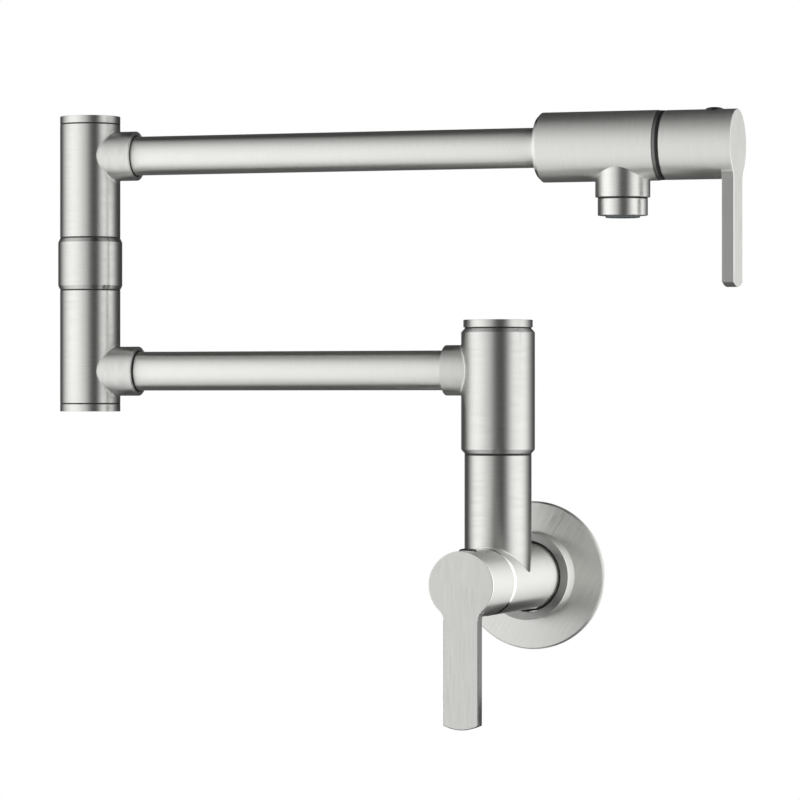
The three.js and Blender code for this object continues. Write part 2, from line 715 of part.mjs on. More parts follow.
function aeratorShell() {
  const threadTop = aeratorTop + AERATOR_THREAD_LENGTH;
  return turned([
    [AERATOR_LIP_R, aeratorBottom],
    [AERATOR_R - AERATOR_EDGE, aeratorBottom],
    [AERATOR_R, aeratorBottom + AERATOR_EDGE],
    [AERATOR_R, aeratorTop],
    [AERATOR_THREAD_R, aeratorTop],
    [AERATOR_THREAD_R, threadTop],
    [AERATOR_BORE_R, threadTop],
    [AERATOR_BORE_R, aeratorBottom + AERATOR_LIP_HEIGHT],
    [AERATOR_LIP_R, aeratorBottom + AERATOR_LIP_HEIGHT],
    [AERATOR_LIP_R, aeratorBottom],
  ]);
}

// The insert drops in from above, rests on the shell's lip and shows its nozzles below it.
function nozzleCentres() {
  const centres = [[0, 0]];
  for (let ringNumber = 1; ringNumber <= NOZZLE_RINGS; ringNumber += 1) {
    const count = HEX_SIDES * ringNumber;
    for (let i = 0; i < count; i += 1) {
      const angle = (2 * Math.PI * i) / count;
      const radius = NOZZLE_PITCH * ringNumber;
      centres.push([radius * Math.cos(angle), radius * Math.sin(angle)]);
    }
  }
  return centres;
}

function aeratorInsert() {
  const face = aeratorBottom - INSERT_PROUD;
  const flange = aeratorBottom + AERATOR_LIP_HEIGHT + SEAT;
  const outside = turned([
    [0, face],
    [AERATOR_LIP_R - 2 * SEAT, face],
    [AERATOR_LIP_R - SEAT, face + SEAT],
    [AERATOR_LIP_R - SEAT, flange],
    [AERATOR_BORE_R - SEAT, flange],
    [AERATOR_BORE_R - SEAT, face + INSERT_BODY_LENGTH],
    [0, face + INSERT_BODY_LENGTH],
  ]);
  const nozzles = nozzleCentres().map(([x, y]) =>
    rod(NOZZLE_R, face - PAST, face + INSERT_FACE_THICK + PAST, HEX_SIDES).translate(x, y, 0));
  const hollowR = AERATOR_LIP_R - SEAT - INSERT_WALL;
  const hollow = rod(hollowR, face + INSERT_FACE_THICK, face + INSERT_BODY_LENGTH + PAST, FACETS_SMALL);
  return cut(outside, hollow, ...nozzles);
}

function aeratorWasher() {
  const low = aeratorTop + AERATOR_THREAD_LENGTH + SEAT;
  return ring(AERATOR_BORE_R, AERATOR_THREAD_R, low, low + AERATOR_WASHER_THICK, FACETS_SMALL);
}

// ---- Assembly: what stays on the wall ---------------------------------------------------
function wallSide() {
  const valve = leverValve('wall', WALL_LEVER_HUB_R, LEVER_GAP);
  const pieces = group(
    part('wall_flange', wallFlange(), brushedSteel()),
    part('flange_gasket', flangeGasket(), blackRubber()),
    part('flange_seal', flangeSeal(), blackRubber()),
    part('valve_body', valveBody(), brushedSteel()),
    part('inlet_nipple', inletNipple(), turnedBrass()),
    placed(valve, 0, 0, BODY_FRONT),
  );
  return turnedRound(pieces, 'x', Math.PI / 2);
}

// The riser's heights count from the lower arm's axis.
function riser() {
  return group(
    part('riser_spindle', riserSpindle(), turnedBrass()),
    part('riser_thrust_washer', thrustWasher(), blackRubber()),
    part('riser_seal_lower', shaftSeal(spindleR, spindleSeals[0]), blackRubber()),
    part('riser_seal_upper', shaftSeal(spindleR, spindleSeals[1]), blackRubber()),
    part('knuckle_retaining_washer', retainingWasher(), plainSteel()),
    part('knuckle_retaining_screw', retainingScrew(), plainSteel()),
  );
}

// ---- Assembly: the lower arm, with the elbow's lower half -------------------------------
// Its origin is where the riser's axis meets the arm's.
function cappedKnuckle() {
  const capSealR = KNUCKLE_R - KNUCKLE_CHAMFER - SEAT;
  const capSeal = ring(KNUCKLE_BORE_R + SEAT, capSealR, CAP_SEAL_GAP, KNUCKLE_CAP_GAP - CAP_SEAL_GAP);
  const cap = endCap(KNUCKLE_CAP_R, KNUCKLE_CAP_HEIGHT, KNUCKLE_BORE_R, CAP_SPIGOT_LENGTH);
  return group(
    turnedRound(part('knuckle_sleeve', knuckle(), brushedSteel()), 'z', Math.PI),
    placed(part('knuckle_cap_seal', capSeal, blackRubber()), 0, 0, KNUCKLE_ABOVE_ARM),
    placed(part('knuckle_cap', cap, brushedSteel()), 0, 0, KNUCKLE_ABOVE_ARM + KNUCKLE_CAP_GAP),
  );
}

function elbowColumn() {
  const cap = part(
    'lower_elbow_cap', endCap(ELBOW_R, ELBOW_CAP_HEIGHT, ELBOW_BORE_R, ELBOW_CAP_SPIGOT), brushedSteel(),
  );
  const core = group(
    part('elbow_collar', elbowCollar(), brushedSteel()),
    part('elbow_spindle', elbowSpindle(), turnedBrass()),
    part('elbow_seal_lower', shaftSeal(elbowShaftR, elbowSeals[0]), blackRubber()),
    part('elbow_seal_middle', shaftSeal(elbowShaftR, elbowSeals[1]), blackRubber()),
    part('elbow_seal_upper', shaftSeal(elbowShaftR, elbowSeals[2]), blackRubber()),
    part('elbow_retaining_nut', elbowNut(), turnedBrass()),
  );
  return group(
    turnedRound(part('lower_elbow_hub', lowerElbowHub(), brushedSteel()), 'x', Math.PI),
    placed(turnedRound(cap, 'x', Math.PI), 0, 0, -ELBOW_CAP_SIDE - SEAT),
    placed(core, 0, 0, ARM_SPACING / 2),
  );
}

function lowerArm() {
  const knuckleEnd = -socketFloor(KNUCKLE_BORE_R);
  const elbowEnd = socketFloor(ELBOW_BORE_R) - LOWER_ARM_REACH;
  const knuckleWasher = part('lower_tube_washer_knuckle', tubeWasher(), blackRubber());
  return group(
    cappedKnuckle(),
    part('lower_arm_tube', armTube(elbowEnd, knuckleEnd), brushedSteel()),
    placed(turnedRound(knuckleWasher, 'z', Math.PI), knuckleEnd, 0, 0),
    placed(part('lower_tube_washer_elbow', tubeWasher(), blackRubber()), elbowEnd, 0, 0),
    placed(elbowColumn(), -LOWER_ARM_REACH, 0, 0),
  );
}

// ---- Assembly: the upper arm, folded back over the lower one, with the spout valve ------
// Its origin is where the elbow's axis meets the arm's.
function spout() {
  const washerStart = SEAM_RING_WIDTH + 2 * SEAT;
  const washerEnd = washerStart + SEAM_WASHER_WIDTH;
  const seamRing = ring(chamberR, SEAM_RING_R, SEAT, SEAT + SEAM_RING_WIDTH);
  const seamWasher = ring(NUT_HEX_R + SEAT, SEAM_WASHER_R, washerStart, washerEnd);
  const seam = group(
    part('spout_seam_ring', seamRing, shadedSteel()),
    part('spout_seam_washer', seamWasher, blackRubber()),
  );
  const valve = leverValve('spout', SPOUT_LEVER_HUB_R, washerEnd + SEAT);
  const uprightValve = turnedRound(group(turnedRound(valve, 'x', Math.PI / 2)), 'z', Math.PI / 2);
  return group(
    part('spout_body', spoutBody(), brushedSteel()),
    part('aerator_shell', aeratorShell(), brushedSteel()),
    part('aerator_insert', aeratorInsert(), greyPlastic()),
    part('aerator_washer', aeratorWasher(), blackRubber()),
    placed(turnedRound(seam, 'y', Math.PI / 2), SPOUT_FRONT, 0, 0),
    placed(uprightValve, SPOUT_FRONT, 0, 0),
  );
}

function upperArm() {
  const elbowEnd = socketFloor(ELBOW_BORE_R);
  const spoutEnd = UPPER_ARM_REACH - SPOUT_BACK + SPOUT_SOCKET_DEPTH;
  const cap = endCap(ELBOW_R, ELBOW_CAP_HEIGHT, ELBOW_BORE_R, ELBOW_CAP_SPIGOT);
  const spoutWasher = part('upper_tube_washer_spout', tubeWasher(), blackRubber());
  return group(
    part('upper_elbow_hub', upperElbowHub(), brushedSteel()),
    placed(part('upper_elbow_cap', cap, brushedSteel()), 0, 0, ELBOW_CAP_SIDE + SEAT),
    part('upper_arm_tube', armTube(elbowEnd, spoutEnd), brushedSteel()),
    placed(part('upper_tube_washer_elbow', tubeWasher(), blackRubber()), elbowEnd, 0, 0),
    placed(turnedRound(spoutWasher, 'z', Math.PI), spoutEnd, 0, 0),
    placed(spout(), UPPER_ARM_REACH, 0, 0),
  );
}

const potFiller = group(
  wallSide(),
  placed(riser(), 0, -RISER_FROM_WALL, LOWER_ARM_HEIGHT),
  placed(lowerArm(), 0, -RISER_FROM_WALL, LOWER_ARM_HEIGHT),
  placed(upperArm(), -LOWER_ARM_REACH, -RISER_FROM_WALL, LOWER_ARM_HEIGHT + ARM_SPACING),
);

export default potFiller;
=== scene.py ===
import json
import math

import bmesh
import bpy
from mathutils import Matrix, Vector


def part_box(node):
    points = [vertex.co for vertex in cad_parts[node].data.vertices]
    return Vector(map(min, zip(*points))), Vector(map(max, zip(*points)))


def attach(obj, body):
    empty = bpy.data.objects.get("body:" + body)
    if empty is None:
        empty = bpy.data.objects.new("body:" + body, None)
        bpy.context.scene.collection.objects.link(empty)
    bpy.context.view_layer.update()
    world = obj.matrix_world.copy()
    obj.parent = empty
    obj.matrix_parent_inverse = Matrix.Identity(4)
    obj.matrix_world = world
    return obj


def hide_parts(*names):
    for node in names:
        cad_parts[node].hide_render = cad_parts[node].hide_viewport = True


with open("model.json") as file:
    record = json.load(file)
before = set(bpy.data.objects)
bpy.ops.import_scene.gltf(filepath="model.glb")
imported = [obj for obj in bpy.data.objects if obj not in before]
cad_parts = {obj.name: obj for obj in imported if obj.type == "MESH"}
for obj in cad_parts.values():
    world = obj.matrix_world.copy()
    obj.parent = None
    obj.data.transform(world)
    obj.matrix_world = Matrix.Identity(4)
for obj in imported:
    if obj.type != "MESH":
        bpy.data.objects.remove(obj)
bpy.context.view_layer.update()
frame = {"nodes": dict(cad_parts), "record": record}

bl_info = {
    "name": "Pot Filler Looks",
    "version": (1, 0, 0),
    "blender": (4, 5, 0),
    "location": "View3D > Sidebar > Pot Filler",
    "description": "Fine surfaces, finishes and studio for a wall mounted pot filler on its CAD frame",
    "category": "Object",
}

MM = 0.001
GRAIN = "grain"                  # the UV map that the brushing follows

ROUND_STEPS = 128                # segments of a large round
SMALL_STEPS = 64                 # segments of a small round
SOFT_STEPS = 3                   # segments of a softened corner
ARC_STEPS = 24                   # segments of the paddle's arcs
FILLET_STEPS = 5                 # segments across a fillet
EDGE_STEPS = 4                   # segments of the paddle's rounded edge
DOME_STEPS = 8                   # segments of a plug's dome
SAME_PLACE = 1e-7                # points nearer than this are one
SHARP_ANGLE = math.radians(32)   # edges that turn more than this stay crisp

SEAM_STEP = 0.05 * MM            # how far one skin is tucked under the next where they run flush
# The dark ring in a seam is a black ring: painted shade in the gap.
SEAM_WIDTH = 1.0 * MM            # width of the dark ring at the bottom of a seam
CAP_RIM = 4.1 * MM               # height of a cap's visible rim
SHELL_RIM = 8.9 * MM             # height of the outlet housing's visible wall

# Walls, depths and soft edges that stay as they are when the sizes below change.
FLANGE_LAND = 3 * MM             # width of the flange's rim where it meets the wall
FLANGE_RECESS = 1.3 * MM         # depth of the hollow behind the flange
FLANGE_RIM_SOFT = 0.1 * MM       # softness of the flange's outer edges
BOSS_WALL = 2 * MM               # wall of the boss
BOSS_HOLLOW = 5 * MM             # depth of the hollow inside the boss
BODY_WALL = 4 * MM               # wall of the valve body
RISER_DEPTH = 10 * MM            # how deep the riser's bore is closed
LEVER_ROOF_DROP = 1.2 * MM       # how far the hub's roof lies under the lever's face
LEVER_ROOF_THICK = 1 * MM        # thickness of that roof
PLUG_DOME = 1.1 * MM             # height of a plug's dome
KNUCKLE_WALL = 3 * MM            # wall of the knuckle sleeve
CAP_RIM_WIDTH = 4.2 * MM         # width of a cap's rim outside its skirt
CAP_SKIRT_WALL = 1.2 * MM        # wall of a cap's skirt
ELBOW_WALL = 3.6 * MM            # wall of an elbow hub
COLLAR_WALL = 4.7 * MM           # wall of the elbow collar
SPOUT_SLIP = 0.3 * MM            # how much wider the spout's bore is than its tube
SPOUT_BORE_DEPTH = 18 * MM       # depth of that bore
SPOUT_WALL = 5.2 * MM            # wall of the spout's valve chamber
CHAMBER_DEPTH = 10 * MM          # depth of the chamber's skin
NECK_STRAIGHT = 5 * MM           # length of the neck above its soft end
NECK_SOFT = 0.5 * MM             # softness of the neck's end
NECK_BORE_DEPTH = 8 * MM         # depth of the neck's bore
RING_WIDTH = 4 * MM              # width of the ring at the spout's lever
RING_SOFT = 0.15 * MM            # softness of its edges
SHELL_LIP = 1.6 * MM             # height of the outlet housing's lip
SHELL_SOFT = 0.3 * MM            # softness of the housing's edges


# ---- What a user would change -----------------------------------------------
def length(name, description, millimetres):
    return bpy.props.FloatProperty(
        name=name, description=description, default=millimetres * MM, min=0.0, unit="LENGTH", precision=5
    )


def share(name, description, default):
    return bpy.props.FloatProperty(
        name=name, description=description, default=default, min=0.0, max=1.0, subtype="FACTOR"
    )


def linear(code):
    """The linear colour of an sRGB hex code."""
    channels = [int(code[i:i + 2], 16) / 255 for i in (0, 2, 4)]
    return tuple(c / 12.92 if c <= 0.04045 else ((c + 0.055) / 1.055) ** 2.4 for c in channels)


def colour(name, description, code):
    return bpy.props.FloatVectorProperty(
        name=name, description=description, default=linear(code), size=3, min=0.0, max=1.0, subtype="COLOR"
    )


class PotFillerSizes(bpy.types.PropertyGroup):
    """Sizes of what the frame's boxes don't give."""

    edge: length("Broken edge", "Radius of a turned piece's edges", 0.25)
    flange_plate: length("Flange plate", "Thickness of the flange at its rim", 3.7)
    boss_radius: length("Flange boss radius", "Outer radius of the raised boss", 24.8)
    boss_bore: length("Flange boss bore", "Radius of the boss's bore", 20.4)
    flange_chamfer: length("Flange chamfer", "Chamfer at the flange's rim", 0.8)
    boss_foot: length("Flange boss foot", "Radius of the fillet at the boss's foot", 0.8)
    lever_edge: length("Lever edge", "Rounding of the paddle's edges", 0.7)
    paddle_width: length("Paddle half width", "Half the paddle's width", 10.05)
    paddle_thick: length("Paddle thickness", "Thickness of the paddle", 6.9)
    paddle_blend: length("Paddle blend", "Radius where the paddle leaves its hub", 7.2)
    paddle_tip: length("Paddle tip", "Radius of the paddle's end", 22.0)
    hub_wall: length("Lever hub wall", "Wall of the lever's hub", 2.6)
    hub_chamfer: length("Lever hub chamfer", "Chamfer at the hub's open end", 1.2)
    barrel_chamfer: length("Barrel chamfer", "Chamfer of the valve body under its lever", 2.0)
    mitre_inset: length("Mitre inset", "How far the riser draws in at the mitre", 0.55)
    mitre_fillet: length("Mitre fillet", "Fillet between riser and barrel", 0.5)
    mitre_height: length("Mitre height", "Over what height the riser draws in", 10.0)
    riser_gap: length("Riser gap", "Dark gap between riser and knuckle", 0.5)
    socket_radius: length("Socket radius", "Outer radius of an arm's socket", 13.95)
    socket_fillet: length("Socket fillet", "Fillet between socket and hub", 1.3)
    mouth_gap: length("Mouth gap", "Dark gap between tube and socket", 0.7)
    mouth_depth: length("Mouth depth", "Depth of that gap", 6.0)
    # The black rings in the mouths are painted shade in the gap round each tube.
    mouth_shadow_ring: length("Mouth seal", "How far the black ring in that gap stands out of it", 0.4)
    lower_mouth_shadow_ring: length("Lower mouth seal", "The same at the lower elbow", 0.9)
    hub_gap: length("Hub gap", "Dark gap at each end of an elbow hub", 0.4)
    # A seam's dark floor is a black ring: painted shade in the gap.
    seam_depth: length("Seam depth", "How far the dark floor of a seam lies below the surface", 0.1)
    seam_relief: length("Seam relief", "How far that floor reaches under the pieces beside it", 0.2)
    tube_radius: length("Tube radius", "Outer radius of the arm tubes", 11.0)
    tube_wall: length("Tube wall", "Wall of the arm tubes", 1.5)
    knuckle_chamfer: length("Knuckle chamfer", "Inset of the knuckle's chamfers", 1.8)
    knuckle_chamfer_height: length("Knuckle chamfer height", "Height of the knuckle's chamfers", 2.1)
    collar_chamfer: length("Collar chamfer", "Inset of the collar's chamfers", 1.1)
    collar_chamfer_height: length("Collar chamfer height", "Height of the collar's chamfers", 2.3)
    spout_chamfer: length("Spout chamfer", "Chamfer at the spout's back", 2.2)
    neck_radius: length("Neck radius", "Radius of the spout's neck", 15.0)
    neck_fillet: length("Neck fillet", "Fillet between neck and spout", 0.4)
    outlet_gap: length("Outlet gap", "Dark gap between neck and outlet housing", 0.6)
    shell_thread: length("Outlet thread radius", "Radius of the outlet housing's hidden thread", 12.2)
    shell_bore: length("Outlet bore radius", "Bore of the outlet housing", 10.6)
    shell_lip: length("Outlet lip radius", "Inner radius of the outlet housing's lip", 9.8)


class PotFillerLooks(bpy.types.PropertyGroup):
    """Colours and finish. The lighter and darker copies of the steel are painted light and painted shade.
    """

    steel: colour("Steel", "Brushed steel of the upright columns and the flange", "D3D3D0")
    # Lighter copy of the steel: its tone is painted light, while its finer brush lines are real.
    fine: colour("Fine steel", "Finer steel of the arms, the spout and the lever hubs", "F3F3EF")
    # Lighter copy of the steel: its tone is painted light.
    satin: colour("Satin steel", "Wall paddle's face, sockets, neck and outlet", "E2E2DF")
    # Darker copy of the steel: its tone is painted shade.
    rim: colour("Rim steel", "Chamfers of the knuckle", "BEBEBC")
    # Darker copy of the steel: its tone is painted shade.
    mid_shade: colour("Milled steel", "Spout paddle's narrow sides, collar's chamfers and boss", "ACACAA")
    # Darkest copy of the steel: its tone is painted shade.
    shade: colour("Shaded steel", "Wall paddle's sides, and the ring at the spout's lever", "8C8C8A")
    plain: colour("Plain steel", "Screws and washers", "9C9D9E")
    brass: colour("Brass", "Turned brass inside", "B9964F")
    # Rubber also colours the black rings in seams and mouths, which are painted shade.
    rubber: colour("Rubber", "Seals and gaskets", "161616")
    plug: colour("Plug", "Black plugs on the levers", "0D0D0E")
    acetal: colour("Acetal", "Cartridges", "DEDCD4")
    insert: colour("Insert", "Outlet insert", "5F676B")
    roughness: share("Roughness", "Mean roughness of the brushed steel", 0.42)
    brushing: share("Brushing", "How far the brushing stretches highlights across itself", 0.98)
    plate_roughness: share("Plate roughness", "Mean roughness of the flange's plate", 0.32)
    plate_brushing: share("Plate brushing", "The same stretch on the flange's plate", 0.74)
    cut_roughness: share("Cut roughness", "Mean roughness of bright chamfers", 0.2)
    cut_brushing: share("Cut brushing", "The same stretch on all cut chamfers", 0.4)
    chamfer_roughness: share("Chamfer roughness", "Mean roughness of the collar's chamfers", 0.2)
    grain_depth: share("Grain", "Strength of the fine brush lines", 1.0)
    fine_grain_depth: share("Fine grain", "Strength of the brush lines on the finer steel", 0.4)
    studio: bpy.props.FloatProperty(
        name="Studio light", description="Strength of the soft studio light", default=1.0, min=0.0
    )


def sizes():
    return bpy.context.scene.pot_filler_sizes


def looks():
    return bpy.context.scene.pot_filler_looks


# ---- Where the frame's nodes are --------------------------------------------
def centre_of(node):
    low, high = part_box(node)
    return (low + high) / 2


def half_width(node, axis="x"):
    """Half a node's extent along an axis, which is its radius where it is round across that axis."""
    low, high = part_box(node)
    return (getattr(high, axis) - getattr(low, axis)) / 2


def bottom(node):
    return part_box(node)[0].z


def top(node):
    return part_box(node)[1].z


def upright(node, height=0.0):
    """Local Z is up, on the node's axis, counted from a height."""
    centre = centre_of(node)
    return Matrix.Translation((centre.x, centre.y, height))


def out_of_wall(start=0.0):
    """Local Z comes straight out of the wall and local Y is up."""
    return Matrix.Translation((0, start, 0)) @ Matrix.Rotation(math.pi / 2, 4, "X")


def sideways(x, y, z, turn):
    place = Matrix.Translation((x, y, z))
    return place @ Matrix.Rotation(turn, 4, "Z") @ Matrix.Rotation(math.pi / 2, 4, "X")


def to_the_right(x, y, z):
    """Local Z points along +X and local Y is up."""
    return sideways(x, y, z, math.pi / 2)


def to_the_left(x, y, z):
    """Local Z points along -X and local Y is up."""
    return sideways(x, y, z, -math.pi / 2)


def downward(x, y, z):
    """Local Z points down and local Y runs along X, as the spout's own axis does."""
    turn = Matrix(((0, 1, 0, 0), (1, 0, 0, 0), (0, 0, -1, 0), (0, 0, 0, 1)))
    return Matrix.Translation((x, y, z)) @ turn


# ---- Profiles, as (radius, height) points, and skins ------------------------
def soften(profile, radius):
    """The profile with its inner corners rounded off."""
    points = [Vector(p) for p in profile]
    softened = [points[0]]
    for before, corner, after in zip(points, points[1:], points[2:]):
        reach_in = min(radius, (before - corner).length * 0.45)
        reach_out = min(radius, (after - corner).length * 0.45)
        start = corner + (before - corner).normalized() * reach_in
        end = corner + (after - corner).normalized() * reach_out
        for step in range(SOFT_STEPS + 1):
            t = step / SOFT_STEPS
            softened.append(start * (1 - t) ** 2 + corner * 2 * t * (1 - t) + end * t ** 2)
    softened.append(points[-1])
    return softened


def pipe(inner, outer, low, high):
    """Profile of a plain ring or pipe."""
    return [(inner, low), (outer, low), (outer, high), (inner, high)]


def chamfered_pipe(inner, outer, low, high, inset, rise):
    """Profile of a pipe with a chamfer at each end."""
    return [
        (inner, low), (outer - inset, low), (outer, low + rise),
        (outer, high - rise), (outer - inset, high), (inner, high),
    ]


def turned(profile, steps=ROUND_STEPS):
    """A profile spun about Z. One that doesn't start and end on the axis closes on itself."""
    bm = bmesh.new()
    points = list(profile)
    closed = min(points[0][0], points[-1][0]) > 0
    verts = [bm.verts.new((r, 0, h)) for r, h in points]
    pairs = list(zip(verts, verts[1:]))
    if closed:
        pairs.append((verts[-1], verts[0]))
    edges = [bm.edges.new(pair) for pair in pairs]
    bmesh.ops.spin(
        bm, geom=verts + edges, cent=(0, 0, 0), axis=(0, 0, 1), angle=math.tau, steps=steps, use_merge=True
    )
    bmesh.ops.remove_doubles(bm, verts=bm.verts, dist=SAME_PLACE)
    bmesh.ops.recalc_face_normals(bm, faces=bm.faces)
    return bm


def round_angles():
    return [math.tau * i / ROUND_STEPS for i in range(ROUND_STEPS)]


def at_angle(line, angle):
    """The points of a profile where it stands at an angle round Z."""
    return [Vector((radius * math.cos(angle), radius * math.sin(angle), height)) for radius, height in line]


def skin(rows):
    """A surface through rows of points that go round and close on the first row."""
    bm = bmesh.new()
    grid = [[bm.verts.new(p) for p in row] for row in rows]
    for row, following in zip(grid, grid[1:] + grid[:1]):
        for a, b, c, d in zip(row, following, following[1:], row[1:]):
            bm.faces.new((a, b, c, d))
    bmesh.ops.remove_doubles(bm, verts=bm.verts, dist=SAME_PLACE)
    bmesh.ops.dissolve_degenerate(bm, edges=bm.edges, dist=SAME_PLACE)
    bmesh.ops.recalc_face_normals(bm, faces=bm.faces)
    return bm


def arc(centre, radius, start, end, steps):
    return [
        centre + radius * Vector((math.cos(a), math.sin(a)))
        for a in (start + (end - start) * i / steps for i in range(steps + 1))
    ]


def lay_grain(bm, flat=None, straight=None):
    """Writes the map that the brushing follows: u runs along the scratches, v across them, in metres.
    Scratches run round Z, save on faces square to Z where flat gives their direction, and on the
    faces that straight picks, where they run that way too."""
    layer = bm.loops.layers.uv.new(GRAIN)
    bm.normal_update()
    for face in bm.faces:
        middle = face.calc_center_median()
        square = abs(face.normal.z) > 0.75
        along = flat if flat and (square or (straight and straight(middle))) else None
        across = along.cross(face.normal) if along else None
        around = math.atan2(middle.y, middle.x)
        for loop in face.loops:
            place = loop.vert.co
            if along:
                loop[layer].uv = (place.dot(along), place.dot(across))
                continue
            radius = math.hypot(place.x, place.y)
            turn = math.atan2(place.y, place.x) if radius > SAME_PLACE else around
            turn = around + (turn - around + math.pi) % math.tau - math.pi
            loop[layer].uv = (turn * max(math.hypot(middle.x, middle.y), MM), radius if square else place.z)
    return bm


def lathed(profile, softness):
    """A softened profile turned about Z, brushed round its axis."""
    return lay_grain(turned(soften(profile, softness)))


# ---- Pieces -----------------------------------------------------------------
def finish_of(slot):
    """The material made here for one of the record's material slots."""
    return bpy.data.materials[f"{slot}_finish"]


def dress(bm, choose):
    """Gives each face the place in its part's finishes that choose returns for its normal and middle."""
    bm.normal_update()
    for face in bm.faces:
        face.material_index = choose(face.normal, face.calc_center_median())
    return bm


def on_chamfers(normal, middle):
    """Picks the second finish on the chamfers of a piece turned about Z."""
    return int(0.25 < abs(normal.z) < 0.75)


def assemble(name, parts, body, nodes, slot):
    """Joins (bmesh, matrix, finishes) parts into one piece that stands for CAD nodes and rides on their
    body. A part without finishes wears the slot's own."""
    whole = bmesh.new()
    worn = []
    for bm, place, *finishes in parts:
        for face in bm.faces:
            wanted = (finishes or [slot])[face.material_index]
            if wanted not in worn:
                worn.append(wanted)
            face.material_index = worn.index(wanted)
        bm.transform(place)
        scratch = bpy.data.meshes.new("scratch")
        bm.to_mesh(scratch)
        bm.free()
        whole.from_mesh(scratch)
        bpy.data.meshes.remove(scratch)
    for face in whole.faces:
        face.smooth = True
    for edge in whole.edges:
        edge.smooth = len(edge.link_faces) == 2 and edge.calc_face_angle() < SHARP_ANGLE
    mesh = bpy.data.meshes.new(name)
    whole.to_mesh(mesh)
    whole.free()
    for finish in worn:
        mesh.materials.append(finish_of(finish))
    piece = bpy.data.objects.new(name, mesh)
    bpy.context.scene.collection.objects.link(piece)
    weighted = piece.modifiers.new("Weighted normals", "WEIGHTED_NORMAL")
    weighted.keep_sharp = True
    if nodes:
        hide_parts(*nodes)
    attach(piece, body)
    return piece


def steel_piece(name, parts, body, *nodes):
    return assemble(name, parts, body, nodes, "brushed_steel")


# ---- Branches: a round that leaves a hub whose axis is local Y --------------
def fillet_row(hub_radius, radius, fillet, angle):
    """Points across the fillet between hub and branch, from the hub to the branch."""
    flat = Vector((math.cos(angle), math.sin(angle))) * (radius + fillet)
    centre = Vector((flat.x, flat.y, math.sqrt((hub_radius + fillet) ** 2 - flat.x ** 2)))
    on_hub = Vector((centre.x, 0, centre.z)) * hub_radius / (hub_radius + fillet) + Vector((0, centre.y, 0))
    on_branch = Vector((flat.x, flat.y, 0)) * radius / (radius + fillet) + Vector((0, 0, centre.z))
    start, end = (on_hub - centre).normalized(), (on_branch - centre).normalized()
    return [centre + start.slerp(end, i / FILLET_STEPS) * fillet for i in range(FILLET_STEPS + 1)]


def socket_row(hub_radius, reach, angle):
    """One line of a socket's skin: over the fillet, along the wall, round the flat mouth and into it."""
    size = sizes()
    row = fillet_row(hub_radius, size.socket_radius, size.socket_fillet, angle)
    bore = size.tube_radius + size.mouth_gap
    floor = reach - size.mouth_depth
    line = soften([
        (size.socket_radius, row[-1].z), (size.socket_radius, reach), (bore, reach), (bore, floor),
        (size.tube_radius, floor),
    ], size.edge)
    return row + at_angle(line, angle)


def socket(hub_radius, reach):
    return lay_grain(skin([socket_row(hub_radius, reach, angle) for angle in round_angles()]))


def mouth_shadow_ring(reach, proud):
    """The black ring that fills a socket's mouth round the tube and stands a little proud of it: painted
    shade in the gap.
    """
    size = sizes()
    inner, outer = size.tube_radius + SEAM_STEP, size.tube_radius + size.mouth_gap - SEAM_STEP
    low, high = reach - size.mouth_depth / 2, reach + proud
    return turned(soften([(inner, low), (inner, high), (outer, high), (outer, low)], size.edge))


def riser_row(radius, top_height, angle):
    """One line of the riser's skin: from the mitre up the wall, over its end and down to a floor."""
    size = sizes()
    outer, bore = radius - SEAM_STEP, radius - BODY_WALL
    row = fillet_row(radius, outer - size.mitre_inset, size.mitre_fillet, angle)
    shoulder = row[-1].z + size.mitre_height
    end = top_height - size.riser_gap
    floor = top_height - RISER_DEPTH
    line = soften([(outer, shoulder), (outer, end), (bore, end)], size.edge) + [(bore, floor), (0, floor)]
    return row + at_angle(line, angle)


def neck_row(radius, drop, angle):
    """One line of the skin of the spout's neck: from the spout down to its soft end and back inside."""
    size = sizes()
    line = soften([
        (size.neck_radius, drop - NECK_STRAIGHT), (size.neck_radius, drop), (size.shell_thread, drop),
    ], NECK_SOFT)
    line.append((size.shell_thread, drop - NECK_BORE_DEPTH))
    return fillet_row(radius, size.neck_radius, size.neck_fillet, angle) + at_angle(line, angle)


# ---- Flange -----------------------------------------------------------------
# The flange's sides wear the nearly white steel, painted light; the boss front a darker steel, painted
# shade.
FLANGE_FINISHES = ("brushed_steel", "plate_steel", "fine_painted_light_steel", "painted_shade_mid_steel")
FLANGE_GRAIN = Vector((0.53, 0.85, 0))
RIM_CHAMFER, PLATE, FLANGE_SIDE, BOSS_FRONT = range(4)


def flange_profile(radius, front):
    """From the wall round the rim, over the plate and the boss, and into the hollow behind them."""
    size = sizes()
    plate, boss = size.flange_plate, size.boss_radius
    rim = [
        (radius - FLANGE_LAND, 0), (radius, 0), (radius, plate - size.flange_chamfer),
        (radius - size.flange_chamfer, plate), (boss, plate),
    ]
    foot = [(boss + 4 * size.boss_foot, plate), (boss, plate), (boss, front)]
    ring = [(boss, plate), (boss, front), (size.boss_bore, front), (size.boss_bore, BOSS_HOLLOW)]
    hollow = [
        (boss - BOSS_WALL, BOSS_HOLLOW), (boss - BOSS_WALL, FLANGE_RECESS),
        (radius - FLANGE_LAND, FLANGE_RECESS),
    ]
    return (
        soften(rim, FLANGE_RIM_SOFT)[:-1] + soften(foot, size.boss_foot)[1:-1]
        + soften(ring, size.edge)[1:] + hollow
    )


def flange_region(normal, middle, radius, front):
    """Which of the flange's finishes a face wears."""
    if normal.z > 0.9:
        return BOSS_FRONT if middle.z > front - sizes().edge else PLATE
    at_rim = middle.xy.length > radius - 2 * sizes().flange_chamfer
    return RIM_CHAMFER if normal.z > 0.3 and at_rim else FLANGE_SIDE


